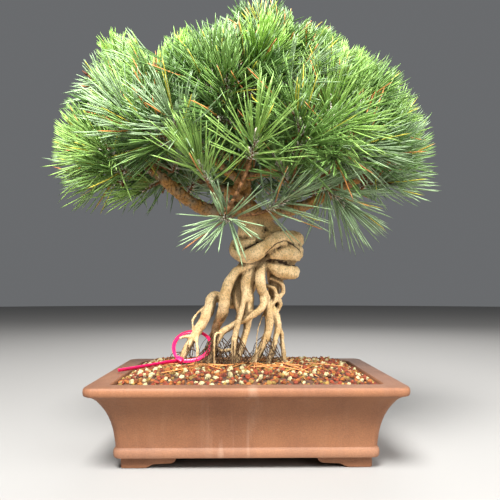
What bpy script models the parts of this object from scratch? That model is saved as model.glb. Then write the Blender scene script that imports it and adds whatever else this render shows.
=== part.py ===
"""Exposed-root Japanese black pine bonsai in its unglazed rectangular pot.

Sizes are in millimetres and become metres where a mesh is made. The origin is the
centre of the pot's footprint on the table, +X is to the right of the pot's front,
+Y runs to its back and +Z is up.
"""

import math
import random

import bmesh
import bpy
from mathutils import Matrix, Vector

MM = 0.001
GAP = 0.3
SEED = 11

# A union's ways, in the order they are tried: its solver and its welding distance.
WELDS = (("EXACT", 2e-6), ("MANIFOLD", 2e-6), ("EXACT", 1e-7), ("MANIFOLD", 1e-7))
SEAM_WELD = 1e-6

# Pot: the flat lip's outer rectangle is its widest part.
POT_LENGTH = 350.0
POT_DEPTH = 258.0
POT_HEIGHT = 92.4
POT_CORNER = 9.0
CORNER_TIGHTENING = 0.25
TIGHTEST_CORNER = 3.0
LIP_WIDTH = 24.0
LIP_EDGE = 9.4
LIP_ROUND = 1.4
LIP_UNDERCUT = (0.5, 0.8)
FOOT_HEIGHT = 12.0
FLOOR_THICKNESS = 8.0
FLOOR_ROUND = 2.0
CORNER_STEPS = 3
DRAIN_RADIUS = 9.0
DRAIN_SPACING = 140.0
DRAIN_SIDES = 12
DRAIN_CUTTER = 4 * FLOOR_THICKNESS

# Wall sections as (inset from the lip's outer edge, height above the table).
OUTER_WALL = [
    (29.0, FOOT_HEIGHT), (28.0, 14.0), (28.0, 20.5), (29.8, 23.0), (28.0, 38.0),
    (25.0, 51.0), (19.5, 64.5), (11.5, 76.5), (3.5, 81.8),
]
INNER_WALL = [(24.3, 80.0), (28.5, 64.0), (34.0, 50.0), (37.0, 36.0), (38.5, 23.0)]

# Cloud feet: inset of their faces from the lip's edge, and one leg's outline as
# (distance from the pot's corner, height). The last step is the scroll's shoulder.
FOOT_INSET = 36.0
FOOT_DEPTH = 15.0
FOOT_SUNK = 3.0
FOOT_OUTLINE = [
    (0.0, FOOT_HEIGHT + FOOT_SUNK), (2.0, 0.0), (25.0, 0.0), (31.0, 1.4), (35.5, 3.7),
    (45.0, 4.3), (56.0, 4.8), (60.0, 8.0), (62.0, FOOT_HEIGHT + FOOT_SUNK),
]

# Soil: mounded from the lip's inner edge to a level place under the roots.
SOIL_EDGE_HEIGHT = 85.5
SOIL_TOP = 100.0
SOIL_LEVEL_HALF = (104.0, 54.0)
SOIL_STEPS = 3

# Limb thickness is a radius. Each route is a few bends as (x, y, z, radius).
# A limb's roundness is its curve's bevel resolution: 1 gives six sides and 2 gives eight.
LIMB_ROUNDNESS = 1
CORE_ROUNDNESS = 2
ROOT_STEPS = 2
KNOT_STEPS = 3
ROOTS = {
    "left": [(4, 16, 196, 6.5), (-18, 25, 177, 6.8), (-34, 20, 186, 7.3), (-45, 11, 185, 7.8),
             (-50, 5, 167, 7.5), (-65, 2, 140, 6.0), (-77, -1, 120, 4.8), (-86, -6, 96, 4.3)],
    "arch": [(22, 4, 238, 6.4), (9, -11, 230, 6.0), (-13, -12, 219, 6.2), (-26, -10, 196, 7.0),
             (-30, -3, 169, 7.8), (-40, 24, 146, 5.9), (-56, 38, 96, 5.0)],
    "rough": [(6, 8, 247, 9.0), (-8, 6, 214, 8.6), (-12, 5, 193, 8.6), (-9, 4, 174, 7.2), (3, 3, 154, 4.6)],
    "centre": [(16, 2, 245, 9.0), (2, -8, 210, 9.8), (2, -8, 178, 8.0), (1, -4, 148, 5.3),
               (-10, -9, 113, 4.2), (-17, -10, 96, 3.8)],
    "front": [(1, -13, 200, 4.5), (-6, -21, 171, 3.4), (-14, -17, 139, 3.8), (-19, -12, 96, 2.5)],
    "stub": [(26, -2, 243, 7.2), (18, -16, 216, 6.6), (19, -16, 198, 6.8), (27, -3, 184, 5.4)],
    "cross": [(21, -10, 194, 5.4), (19, -15, 172, 4.7), (-15, -10, 152, 4.4), (-35, -8, 136, 4.7),
              (-50, -12, 96, 3.0)],
    "right": [(22, -5, 190, 5.8), (30, -1, 160, 6.2), (26, 2, 133, 4.9), (4, -4, 96, 3.9)],
    "outer": [(25, 0, 187, 5.3), (41, 4, 157, 4.6), (38, 3, 131, 3.9), (26, -3, 96, 3.4)],
    "fork": [(41, 5, 154, 3.4), (47, 11, 135, 3.0), (51, 16, 96, 3.2)],
    "back": [(32, 8, 236, 8.7), (37, 10, 212, 8.8), (37, 12, 195, 8.0), (36, 15, 168, 5.5),
             (16, 44, 96, 4.2)],
    "gnarl": [(30, 0, 213, 3.4), (45, 1, 206, 3.6), (48, 4, 193, 3.2), (39, 1, 184, 3.4), (33, 0, 176, 3.0)],
    "twist": [(25, 3, 202, 3.0), (37, -1, 197, 3.0), (39, 1, 187, 3.4), (45, 5, 178, 3.4), (38, 9, 164, 3.0)],
    "hind": [(12, 12, 236, 7.0), (8, 34, 200, 5.6), (-12, 44, 150, 4.6), (-16, 42, 96, 3.8)],
    "curl": [(-32, -9, 141, 2.2), (-40, -18, 137, 2.0), (-40, -18, 96, 1.8)],
    "short": [(-41, -10, 123, 2.2), (-30, -7, 118, 2.2), (-18, -12, 121, 2.0)],
    "level": [(-86, -4, 134, 1.9), (-76, -2, 136, 2.3), (-62, 2, 134, 2.3)],
    "drop": [(-64, 0, 138, 2.6), (-63, -8, 122, 2.0), (-60, -14, 96, 1.8)],
    "whisker": [(-52, 8, 177, 1.9), (-68, 3, 160, 1.7), (-70, 2, 144, 1.4)],
}

# The knot is the coiled old stem under the crown, and the leader grows on from it.
KNOT = {
    "core": [(38, 5, 236, 14.0), (30, 4, 248, 21.0), (10, 2, 264, 19.5), (5, 4, 288, 16.5),
             (1, 5, 309, 13.5)],
    "shoulder": [(9, 3, 300, 10.6), (24, 5, 284, 10.8), (42, 1, 268, 10.2)],
    "band": [(-11, 14, 256, 10.5), (-11, -6, 245, 10.2), (6, -25, 240, 10.0), (40, -25, 260, 10.0),
             (66, 2, 261, 11.2), (46, 24, 248, 11.0)],
    "middle": [(50, 22, 245, 12.2), (62, -2, 245, 13.8), (48, -18, 244, 12.6), (29, -19, 240, 7.0)],
    "lower": [(25, -9, 231, 6.4), (43, -14, 222, 10.4), (60, -5, 220, 10.8), (40, 8, 218, 8.8)],
}
LEADER = [(2, 4, 298, 13.0), (-5, 4, 329, 11.4), (-1, 2, 356, 9.6), (12, 0, 389, 7.2),
          (23, -2, 430, 5.4), (30, -4, 492, 3.2)]

# Boughs: the height where each leaves the trunk, its elbow, its tip, and its radii.
BOUGHS = {
    "left": (305, (-58, -6, 303), (-126, -20, 354), 10.5, 6.6),
    "right": (290, (78, 0, 308), (156, -6, 346), 9.0, 5.0),
    "front_low": (316, (-22, -50, 318), (-24, -84, 296), 4.6, 2.8),
    "front_left": (337, (-48, -54, 360), (-96, -96, 376), 5.2, 3.0),
    "front_right": (344, (52, -50, 352), (104, -92, 368), 5.4, 3.0),
    "front": (386, (12, -52, 424), (2, -92, 452), 4.6, 2.8),
    "back_left": (326, (-50, 54, 346), (-104, 92, 374), 5.4, 3.0),
    "back_right": (352, (56, 52, 362), (108, 88, 372), 5.2, 3.0),
    "back": (366, (4, 66, 384), (0, 112, 404), 4.8, 3.0),
    "upper_left": (404, (-28, -8, 438), (-74, -18, 482), 4.6, 2.8),
    "upper_right": (392, (62, -10, 416), (122, -14, 462), 4.8, 2.8),
    "outer_left": (362, (-74, 4, 398), (-142, -6, 446), 5.2, 3.0),
    "upper_back": (420, (24, 46, 448), (22, 84, 476), 4.4, 2.8),
}
BOUGH_STEPS = 3
LEADER_STEPS = 4

# A mass's stem carries its twigs along its outer part, and its cell is the space that
# is nearer to a point two stems beyond the bough's tip than to any other mass's point.
STEM_LENGTH = 26.0
STEM_SIDES = 5
STEM_FORKS = (0.55, 1.0)
CELL_REACH = 2 * STEM_LENGTH

# Crown: how far its needle tips reach, and the shell where its shoots end.
REACH_X = 258.0
REACH_Y = 196.0
CROWN_BASE = 358.0

# The crown's top line from left to right, as (x, z). Past its front and back edge the
# crown ends too, and BOXINESS says how squarely the two meet.
CROWN_TOPS = [(-258, 400), (-248, 440), (-226, 476), (-208, 530), (-190, 546), (-55, 546), (-10, 590),
              (52, 594), (76, 568), (120, 542), (180, 520), (206, 488), (230, 446), (258, 372)]
SHOOT_INSET = 52.0
BOXINESS = 1.9
REACH_STEPS = 12
LOWEST_TILT = 92.0
OUTER_SHOOTS = 60
INNER_SHOOTS = 20
INNER_SHARE = 0.62
SHOOT_SPREAD = 12.0
SHOOT_SPACING = 31.0

# Shoots that stand out on the real tree, by where their tips are.
MARKED_SHOOTS = [
    (-170, -12, 498), (-84, -24, 506), (-44, -8, 518), (30, -8, 536), (146, -16, 486), (-204, -14, 436),
    (-30, -118, 276), (118, -66, 298), (11, -146, 366), (48, -136, 390), (-56, -134, 336),
    (-214, -14, 384), (-204, 4, 340), (208, -12, 372), (178, -40, 330), (-160, -70, 340),
    (-130, -40, 318), (204, 10, 420), (96, -118, 344), (54, -84, 306), (-206, -24, 474),
    (-150, 26, 496), (-124, -34, 482),
]

# A shoot leans away from its fork, from a point below the crown and towards the light.
OUTWARD_FROM = CROWN_BASE - 60.0
OUTWARD_PULL = 0.8
UPWARD_PULL = 0.35
SHOOT_LENGTH = 40.0
SHOOT_RADIUS = 3.7
SHOOT_SIDES = 4
SHOOT_TAPER = 0.5
TWIG_RADIUS = 2.0
TWIG_TAPER = 0.9
NEEDLES = 9
NEEDLE_ZONE = (0.12, 0.92)
NEEDLE_LENGTH = (58.0, 72.0)
NEEDLE_RADIUS = 2.0
NEEDLE_SEAT = 0.2
SHORTEST_SHARE = 0.6
NEEDLE_TILT = (82.0, 24.0)
NEEDLE_WOBBLE = 8.0
CELL_MARGIN = 0.8
TWIG_CELL_MARGIN = 3.2
LIMB_MARGIN = 1.2
GOLDEN_ANGLE = math.pi * (3.0 - math.sqrt(5.0))

# Cable tie: one loop round the big left root, its head and its tail.
TIE_WIDTH = 4.8
TIE_THICKNESS = 1.4
TIE_CENTRE = Vector((-69.6, 0.0, 124.8))
TIE_LOOP_RADIUS = 23.5
TIE_LEAN = 46.0
TIE_STEPS = 24
TIE_HEAD = (8.4, 7.2, 6.2)
TIE_HEAD_ANGLE = 240.0

# The strap's loop twists from its head round to its head, and is drawn out to the head.
TIE_TWIST = (-55.0, -125.0)
TIE_PINCH = 0.2
TIE_PINCH_WIDTH = 30.0
TIE_HEAD_SPAN = 5.0
TIE_TAIL = [(-98, -21, 106), (-116, -22, 103), (-136, -22, 99.5), (-160, -21, 95.8)]
TIE_TAIL_SIDE = Vector((0.0, -0.55, 0.84))
TIE_TAIL_STEPS = 3

# Surface colours as sRGB hex, with roughness.
FINISHES = {
    "stoneware": ("#96684f", 0.72),
    "gravel": ("#a8683c", 0.9),
    "bark": ("#9a7a50", 0.85),
    "young_bark": ("#9a6a38", 0.8),
    "needles": ("#4f7f35", 0.55),
    "nylon": ("#f01e64", 0.35),
}


def finish(name):
    """The named surface's own Principled material."""
    colour, roughness = FINISHES[name]
    srgb = [int(colour[i:i + 2], 16) / 255 for i in (1, 3, 5)]
    linear = [c / 12.92 if c <= 0.04045 else ((c + 0.055) / 1.055) ** 2.4 for c in srgb]
    made = bpy.data.materials.new(name)
    made.use_nodes = True
    shader = made.node_tree.nodes["Principled BSDF"]
    shader.inputs["Base Color"].default_value = (*linear, 1.0)
    shader.inputs["Roughness"].default_value = roughness
    shader.inputs["Metallic"].default_value = 0.0
    return made


def add_object(name, mesh, surface=None):
    """An object in the scene with its own material."""
    made = bpy.data.objects.new(name, mesh)
    bpy.context.scene.collection.objects.link(made)
    if surface:
        made.data.materials.clear()
        made.data.materials.append(finish(surface))
    return made


def mesh_of(bm, name):
    """Turns a bmesh into a mesh whose faces point outwards."""
    bmesh.ops.recalc_face_normals(bm, faces=bm.faces[:])
    mesh = bpy.data.meshes.new(name)
    bm.to_mesh(mesh)
    bm.free()
    return mesh


def smooth(obj, angle=40.0):
    """Shades a round piece smooth, with its real edges kept sharp."""
    obj.data.shade_smooth()
    obj.data.set_sharp_from_angle(angle=math.radians(angle))


def evaluated_mesh(obj):
    """The object's mesh as its modifiers or its curve's bevel leave it."""
    bpy.context.view_layer.update()
    graph = bpy.context.evaluated_depsgraph_get()
    return bpy.data.meshes.new_from_object(obj.evaluated_get(graph))


def largest_body(mesh, weld):
    """Drops loose scraps and the skins of sealed hollows, leaving the tallest body."""
    bm = bmesh.new()
    bm.from_mesh(mesh)
    bmesh.ops.remove_doubles(bm, verts=bm.verts[:], dist=weld)
    left = set(bm.faces)
    bodies = []
    while left:
        start = left.pop()
        body, front = [start], [start]
        while front:
            touching = [face for edge in front.pop().edges for face in edge.link_faces if face in left]
            for face in dict.fromkeys(touching):
                left.remove(face)
                body.append(face)
                front.append(face)
        bodies.append(body)

    def height(body):
        levels = [vert.co.z for face in body for vert in face.verts]
        return max(levels) - min(levels)

    bodies.sort(key=height)
    scraps = [face for body in bodies[:-1] for face in body]
    bmesh.ops.delete(bm, geom=scraps, context="FACES")
    bmesh.ops.triangulate(bm, faces=bm.faces[:])
    bm.to_mesh(mesh)
    bm.free()


def closed(mesh):
    """Whether every edge of a mesh has exactly two faces."""
    bm = bmesh.new()
    bm.from_mesh(mesh)
    whole = all(len(edge.link_faces) == 2 for edge in bm.edges)
    bm.free()
    return whole


def combine(base, parts, operation="UNION"):
    """Joins parts to base, or cuts them from it, in one Boolean, and removes them."""
    group = bpy.data.collections.new(base.name + "_parts")
    for part in parts:
        bpy.context.scene.collection.objects.unlink(part)
        group.objects.link(part)
    bpy.context.scene.collection.children.link(group)
    boolean = base.modifiers.new("combine", "BOOLEAN")
    boolean.operation = operation
    boolean.operand_type = "COLLECTION"
    boolean.collection = group
    for solver, weld in WELDS:
        boolean.solver = solver
        mesh = evaluated_mesh(base)
        largest_body(mesh, weld)
        if closed(mesh):
            break
    else:
        raise RuntimeError(f"{operation} of {base.name} with {len(parts)} parts stays open")
    base.modifiers.clear()
    base.data = mesh
    for part in parts:
        bpy.data.objects.remove(part)
    bpy.data.collections.remove(group)
    return base


def rounded_ring(inset, height):
    """The pot's plan at one height, drawn in from the lip's outer edge by inset."""
    corner = max(POT_CORNER - CORNER_TIGHTENING * inset, TIGHTEST_CORNER)
    half = Vector((POT_LENGTH / 2 - inset - corner, POT_DEPTH / 2 - inset - corner))
    return ring_at(half, corner, height)


def ring_at(half, corner, height):
    """Points round a rectangle with rounded corners, whose corner centres are at half."""
    points = []
    for quarter in range(4):
        sign_x = 1 if quarter in (0, 3) else -1
        sign_y = 1 if quarter in (0, 1) else -1
        for step in range(CORNER_STEPS + 1):
            angle = math.radians(90 * (quarter + step / CORNER_STEPS))
            x = sign_x * half[0] + corner * math.cos(angle)
            y = sign_y * half[1] + corner * math.sin(angle)
            points.append(Vector((x, y, height)))
    return points


def loft(name, rings, surface):
    """A closed solid through rings of points, with a flat face at each end."""
    bm = bmesh.new()
    loops, ends = [], []
    for ring in rings:
        verts = [bm.verts.new(point * MM) for point in ring]
        loops.append([bm.edges.new((a, b)) for a, b in zip(verts, verts[1:] + verts[:1])])
        ends.append(verts)
    for lower, upper in zip(loops, loops[1:]):
        bmesh.ops.bridge_loops(bm, edges=lower + upper)
    bm.faces.new(ends[0])
    bm.faces.new(ends[-1])
    return add_object(name, mesh_of(bm, name), surface)


def slab(name, outline, start, end, axes):
    """An outline in two axes pushed from start to end along the third."""
    bm = bmesh.new()
    along, up, through = axes
    face = bm.faces.new([bm.verts.new((along * a + up * b + through * start) * MM) for a, b in outline])
    pushed = bmesh.ops.extrude_face_region(bm, geom=[face])["geom"]
    verts = [item for item in pushed if isinstance(item, bmesh.types.BMVert)]
    bmesh.ops.translate(bm, verts=verts, vec=through * (end - start) * MM)
    return add_object(name, mesh_of(bm, name))


def make_pot():
    """One fired piece: concave walls, flat lip, bottom bead, four cloud feet, two drains."""
    rings = [rounded_ring(inset, height) for inset, height in OUTER_WALL]
    rings += [
        rounded_ring(LIP_UNDERCUT[0], POT_HEIGHT - LIP_EDGE + LIP_UNDERCUT[1]),
        rounded_ring(0.0, POT_HEIGHT - LIP_ROUND),
        rounded_ring(LIP_ROUND, POT_HEIGHT),
        rounded_ring(LIP_WIDTH - LIP_ROUND, POT_HEIGHT),
        rounded_ring(LIP_WIDTH, POT_HEIGHT - LIP_ROUND),
    ]
    rings += [rounded_ring(inset, height) for inset, height in INNER_WALL]
    rings.append(rounded_ring(INNER_WALL[-1][0] + FLOOR_ROUND, FOOT_HEIGHT + FLOOR_THICKNESS))
    pot = loft("pot", rings, "stoneware")
    half_x = POT_LENGTH / 2 - FOOT_INSET
    half_y = POT_DEPTH / 2 - FOOT_INSET
    legs = []
    for side_x in (-1, 1):
        for side_y in (-1, 1):
            in_x, in_y, up = Vector((-side_x, 0, 0)), Vector((0, -side_y, 0)), Vector((0, 0, 1))
            corner = Vector((side_x * half_x, side_y * half_y, 0)) * MM
            for along, through in ((in_x, in_y), (in_y, in_x)):
                leg = slab("leg", FOOT_OUTLINE, 0.0, FOOT_DEPTH, (along, up, through))
                leg.data.transform(Matrix.Translation(corner))
                legs.append(leg)
    combine(pot, legs)
    drains = []
    for side in (-1, 1):
        bm = bmesh.new()
        place = Matrix.Translation(Vector((side * DRAIN_SPACING / 2, 0, FOOT_HEIGHT)) * MM)
        bmesh.ops.create_cone(bm, cap_ends=True, segments=DRAIN_SIDES, radius1=DRAIN_RADIUS * MM,
                              radius2=DRAIN_RADIUS * MM, depth=DRAIN_CUTTER * MM, matrix=place)
        drains.append(add_object("drain", mesh_of(bm, "drain")))
    combine(pot, drains, "DIFFERENCE")
    smooth(pot, 30.0)


def make_soil():
    """The gravel's body, a gap clear of the pot, mounded up to the foot of the roots."""
    floor = FOOT_HEIGHT + FLOOR_THICKNESS + GAP
    rings = [rounded_ring(INNER_WALL[-1][0] + FLOOR_ROUND + GAP, floor)]
    rings += [rounded_ring(inset + GAP, height) for inset, height in reversed(INNER_WALL[1:])]
    rings[1] = rounded_ring(INNER_WALL[-1][0] + 2 * GAP, INNER_WALL[-1][1])
    rings.append(rounded_ring(INNER_WALL[0][0] + GAP, INNER_WALL[0][1]))
    rings.append(rounded_ring(INNER_WALL[0][0] + GAP, SOIL_EDGE_HEIGHT))
    edge = Vector((POT_LENGTH / 2 - LIP_WIDTH, POT_DEPTH / 2 - LIP_WIDTH))
    for step in range(1, SOIL_STEPS + 1):
        share = step / SOIL_STEPS
        rise = math.sin(share * math.pi / 2)
        half = [edge[i] + (SOIL_LEVEL_HALF[i] - edge[i]) * share for i in (0, 1)]
        height = SOIL_EDGE_HEIGHT + (SOIL_TOP - SOIL_EDGE_HEIGHT) * rise
        rings.append(ring_at((half[0] - POT_CORNER, half[1] - POT_CORNER), POT_CORNER, height))
    smooth(loft("soil", rings, "gravel"), 30.0)


def through_bends(route, steps):
    """Points and radii on a smooth curve through a route's bends."""
    bends = [(Vector(bend[:3]), bend[3]) for bend in route]
    bends = [(2 * bends[0][0] - bends[1][0], bends[0][1])] + bends
    bends.append((2 * bends[-1][0] - bends[-2][0], bends[-1][1]))
    curve = []
    for i in range(1, len(bends) - 2):
        before, start, end, after = (bends[i + k] for k in (-1, 0, 1, 2))
        for step in range(steps + (i == len(bends) - 3)):
            t = step / steps
            point = 0.5 * (2 * start[0] + (end[0] - before[0]) * t
                           + (2 * before[0] - 5 * start[0] + 4 * end[0] - after[0]) * t * t
                           + (3 * start[0] - before[0] - 3 * end[0] + after[0]) * t ** 3)
            curve.append((point, start[1] + (end[1] - start[1]) * t))
    return curve


def tube(name, curve, roundness, surface=None, extra=0.0):
    """A limb: a bevelled curve with filled ends, extra millimetres fatter if asked."""
    line = bpy.data.curves.new(name, "CURVE")
    line.dimensions = "3D"
    line.bevel_depth = MM
    line.bevel_resolution = roundness
    line.use_fill_caps = True
    spline = line.splines.new("POLY")
    spline.points.add(len(curve) - 1)
    for point, (place, radius) in zip(spline.points, curve):
        point.co = (*(place * MM), 1.0)
        point.radius = radius + extra
    bent = bpy.data.objects.new(name, line)
    bpy.context.scene.collection.objects.link(bent)
    mesh = evaluated_mesh(bent)
    bpy.data.objects.remove(bent)
    bm = bmesh.new()
    bm.from_mesh(mesh)
    bmesh.ops.remove_doubles(bm, verts=bm.verts[:], dist=SEAM_WELD)
    return add_object(name, mesh_of(bm, name), surface)


def make_trunk():
    """Roots from the soil, the knot and the leader, as one body cut flat at the soil."""
    trunk = tube("trunk", through_bends(KNOT["core"], KNOT_STEPS), CORE_ROUNDNESS, "bark")
    parts = [tube("leader", through_bends(LEADER, KNOT_STEPS), LIMB_ROUNDNESS)]
    for name in ("shoulder", "band", "middle", "lower"):
        parts.append(tube(name, through_bends(KNOT[name], KNOT_STEPS), LIMB_ROUNDNESS))
    combine(trunk, parts)
    combine(trunk, [tube(name, through_bends(route, ROOT_STEPS), LIMB_ROUNDNESS)
                    for name, route in ROOTS.items()])
    half_x, half_y = SOIL_LEVEL_HALF
    ground = [(-half_x, 0.0), (half_x, 0.0), (half_x, SOIL_TOP + GAP), (-half_x, SOIL_TOP + GAP)]
    axes = (Vector((1, 0, 0)), Vector((0, 0, 1)), Vector((0, 1, 0)))
    combine(trunk, [slab("ground", ground, -half_y, half_y, axes)], "DIFFERENCE")
    smooth(trunk)


def leader_at(height):
    """The middle of the trunk at a height above the knot."""
    line = [point for point, _ in through_bends(KNOT["core"][2:] + LEADER[1:], LEADER_STEPS)]
    for lower, upper in zip(line, line[1:]):
        if lower.z <= height <= upper.z:
            return lower.lerp(upper, (height - lower.z) / (upper.z - lower.z))
    return line[-1]


def bough_curve(name):
    """One tapering limb from the trunk's middle over its elbow to its tip."""
    height, elbow, tip, thick, thin = BOUGHS[name]
    start, elbow, tip = leader_at(height), Vector(elbow), Vector(tip)
    mean = (thick + thin) / 2
    route = [(*start, thick), (*elbow, mean), (*tip, thin)]
    return through_bends(route, BOUGH_STEPS)


def make_bough(name, curve):
    """Cuts a bough a gap clear of the trunk that carries it."""
    bough = tube("bough_" + name, curve, LIMB_ROUNDNESS, "young_bark")
    fat = [
        tube("fat_core", through_bends(KNOT["core"], KNOT_STEPS), CORE_ROUNDNESS, extra=GAP),
        tube("fat_shoulder", through_bends(KNOT["shoulder"], KNOT_STEPS), LIMB_ROUNDNESS, extra=GAP),
        tube("fat_leader", through_bends(LEADER, KNOT_STEPS), LIMB_ROUNDNESS, extra=GAP),
    ]
    combine(bough, fat, "DIFFERENCE")
    smooth(bough)


def apart(a, b, c, d):
    """The distance between two straight pieces, a to b and c to d."""
    u, v, w = b - a, d - c, a - c
    uu, uv, vv, uw, vw = u.dot(u), u.dot(v), v.dot(v), u.dot(w), v.dot(w)
    slope = uu * vv - uv * uv
    s = min(max((uv * vw - vv * uw) / slope, 0.0), 1.0) if slope > 1e-9 else 0.0
    t = min(max((uv * s + vw) / vv, 0.0), 1.0)
    s = min(max((uv * t - uw) / uu, 0.0), 1.0)
    return (w + u * s - v * t).length


def share_in_cell(start, end, own, centres, margin):
    """How much of a straight piece is nearer its own mass than any other, by a margin."""
    share = 1.0
    for other in centres:
        if other is not own:
            across = (other - own).normalized()
            reach = -margin - (start - (own + other) / 2).dot(across)
            if reach <= 0.0:
                return 0.0
            travel = (end - start).dot(across)
            if travel > reach:
                share = min(share, reach / travel)
    return share


def shoot_tips():
    """Where shoots end: the marked ones, then a seeded spiral over the crown's shell."""
    chance = random.Random(SEED)
    tips = [Vector(tip) for tip in MARKED_SHOOTS]
    middle = Vector((0, 0, CROWN_BASE))
    for count, share in ((OUTER_SHOOTS, 1.0), (INNER_SHOOTS, INNER_SHARE)):
        for i in range(count):
            low = math.cos(math.radians(LOWEST_TILT))
            rise = 1.0 - (1.0 - low) * (i + 0.5) / count
            turn = i * GOLDEN_ANGLE
            flat = math.sqrt(1.0 - rise * rise)
            way = Vector((flat * math.cos(turn), flat * math.sin(turn), rise))
            size = sum(abs(c) ** BOXINESS for c in way) ** (-1.0 / BOXINESS)
            out = way * size * share
            out.x, out.y = out.x * (REACH_X - SHOOT_INSET), out.y * (REACH_Y - SHOOT_INSET)
            out.z *= crown_top(out.x) - CROWN_BASE - SHOOT_INSET
            tip = middle + out
            tip += Vector([chance.uniform(-SHOOT_SPREAD, SHOOT_SPREAD) for _ in range(3)])
            if min((tip - other).length for other in tips) > SHOOT_SPACING:
                tips.append(tip)
    return tips


def spike(start, end, thick, thin, sides=3):
    """A straight tapering piece of a twig, or a needle where thin is nothing."""
    bm = bmesh.new()
    along = end - start
    turn = along.to_track_quat("Z", "Y").to_matrix().to_4x4()
    place = Matrix.Translation((start + end) / 2 * MM) @ turn
    bmesh.ops.create_cone(bm, cap_ends=True, segments=sides, radius1=thick * MM, radius2=thin * MM,
                          depth=along.length * MM, matrix=place)
    return add_object("spike", mesh_of(bm, "spike"))


def make_masses(limbs):
    """Grows each bough's twigs to the shoots nearest it, and needles on every shoot."""
    chance = random.Random(SEED + 1)
    stems = {}
    for name, curve in limbs.items():
        (before, _), (tip, radius) = curve[-2], curve[-1]
        way = (tip - before).normalized()
        stems[name] = (tip + way * GAP, way, radius, tip + way * CELL_REACH)
    centres = [stem[3] for stem in stems.values()]
    pieces = [(a[0], b[0], max(a[1], b[1])) for curve in limbs.values() for a, b in zip(curve, curve[1:])]
    pieces += [(a[0], b[0], max(a[1], b[1])) for a, b in trunk_pieces()]

    def clear(a, b, thick):
        return all(apart(a, b, c, d) > radius + thick + LIMB_MARGIN for c, d, radius in pieces)

    homes = {name: [] for name in stems}
    for tip in shoot_tips():
        nearest = min(stems, key=lambda name: (stems[name][3] - tip).length)
        homes[nearest].append(tip)
    for name, (start, way, radius, own) in stems.items():
        fork = start + way * STEM_LENGTH
        mass = spike(start, fork, radius, TWIG_RADIUS, STEM_SIDES)
        mass.name = "needles_" + name
        mass.data.materials.append(finish("needles"))
        parts = []
        for tip in homes[name]:
            outward = (tip - Vector((0, 0, OUTWARD_FROM))).normalized() * OUTWARD_PULL
            axis = ((tip - fork).normalized() + outward + Vector((0, 0, UPWARD_PULL))).normalized()
            foot = tip - axis * SHOOT_LENGTH
            root = start + way * STEM_LENGTH * chance.uniform(*STEM_FORKS)
            pieces_fit = all(share_in_cell(a, b, own, centres, TWIG_CELL_MARGIN) == 1.0
                             for a, b in ((root, foot), (foot, tip)))
            if not (pieces_fit and clear(root, foot, TWIG_RADIUS) and clear(foot, tip, SHOOT_RADIUS)):
                continue
            parts.append(spike(root, foot + axis, TWIG_RADIUS, TWIG_TAPER * TWIG_RADIUS))
            parts.append(spike(foot, tip, SHOOT_RADIUS, SHOOT_TAPER * SHOOT_RADIUS, SHOOT_SIDES))
            side = axis.orthogonal().normalized()
            for i in range(NEEDLES):
                share = (i + 0.5) / NEEDLES
                lean = NEEDLE_TILT[0] + (NEEDLE_TILT[1] - NEEDLE_TILT[0]) * share
                lean = math.radians(lean + chance.uniform(-NEEDLE_WOBBLE, NEEDLE_WOBBLE))
                turned = Matrix.Rotation(i * GOLDEN_ANGLE, 3, axis) @ side
                aim = axis * math.cos(lean) + turned * math.sin(lean)
                along = NEEDLE_ZONE[0] + (NEEDLE_ZONE[1] - NEEDLE_ZONE[0]) * share
                base = foot.lerp(tip, along) + turned * SHOOT_RADIUS * NEEDLE_SEAT
                end = within_reach(base, base + aim * chance.uniform(*NEEDLE_LENGTH))
                share = share_in_cell(base, end, own, centres, CELL_MARGIN)
                end = base.lerp(end, share)
                if share > SHORTEST_SHARE and clear(base, end, NEEDLE_RADIUS):
                    parts.append(spike(base, end, NEEDLE_RADIUS, 0.0))
        combine(mass, parts)


def trunk_pieces():
    """The straight pieces of the leader and the knot's core, for keeping clear of them."""
    for route in (LEADER, KNOT["core"], KNOT["shoulder"], KNOT["band"]):
        curve = through_bends(route, ROOT_STEPS)
        yield from zip(curve, curve[1:])


def crown_top(x):
    """Height of the crown's top line over a place on its width."""
    for (left, low), (right, high) in zip(CROWN_TOPS, CROWN_TOPS[1:]):
        if x < right:
            return low + (high - low) * max(x - left, 0.0) / (right - left)
    return CROWN_TOPS[-1][1]


def beyond_reach(point):
    """Whether a point lies outside the crown: past its outline in plan, or past its top line."""
    across, back = abs(point.x) / REACH_X, abs(point.y) / REACH_Y
    up = max(point.z - CROWN_BASE, 0.0) / (crown_top(point.x) - CROWN_BASE)
    return max(across, up) ** BOXINESS + back ** BOXINESS > 1.0


def within_reach(base, end):
    """Shortens a needle that would pass the crown's outline."""
    if not beyond_reach(end):
        return end
    low, high = 0.0, 1.0
    for _ in range(REACH_STEPS):
        middle = (low + high) / 2
        if beyond_reach(base.lerp(end, middle)):
            high = middle
        else:
            low = middle
    return base.lerp(end, low)


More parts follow.
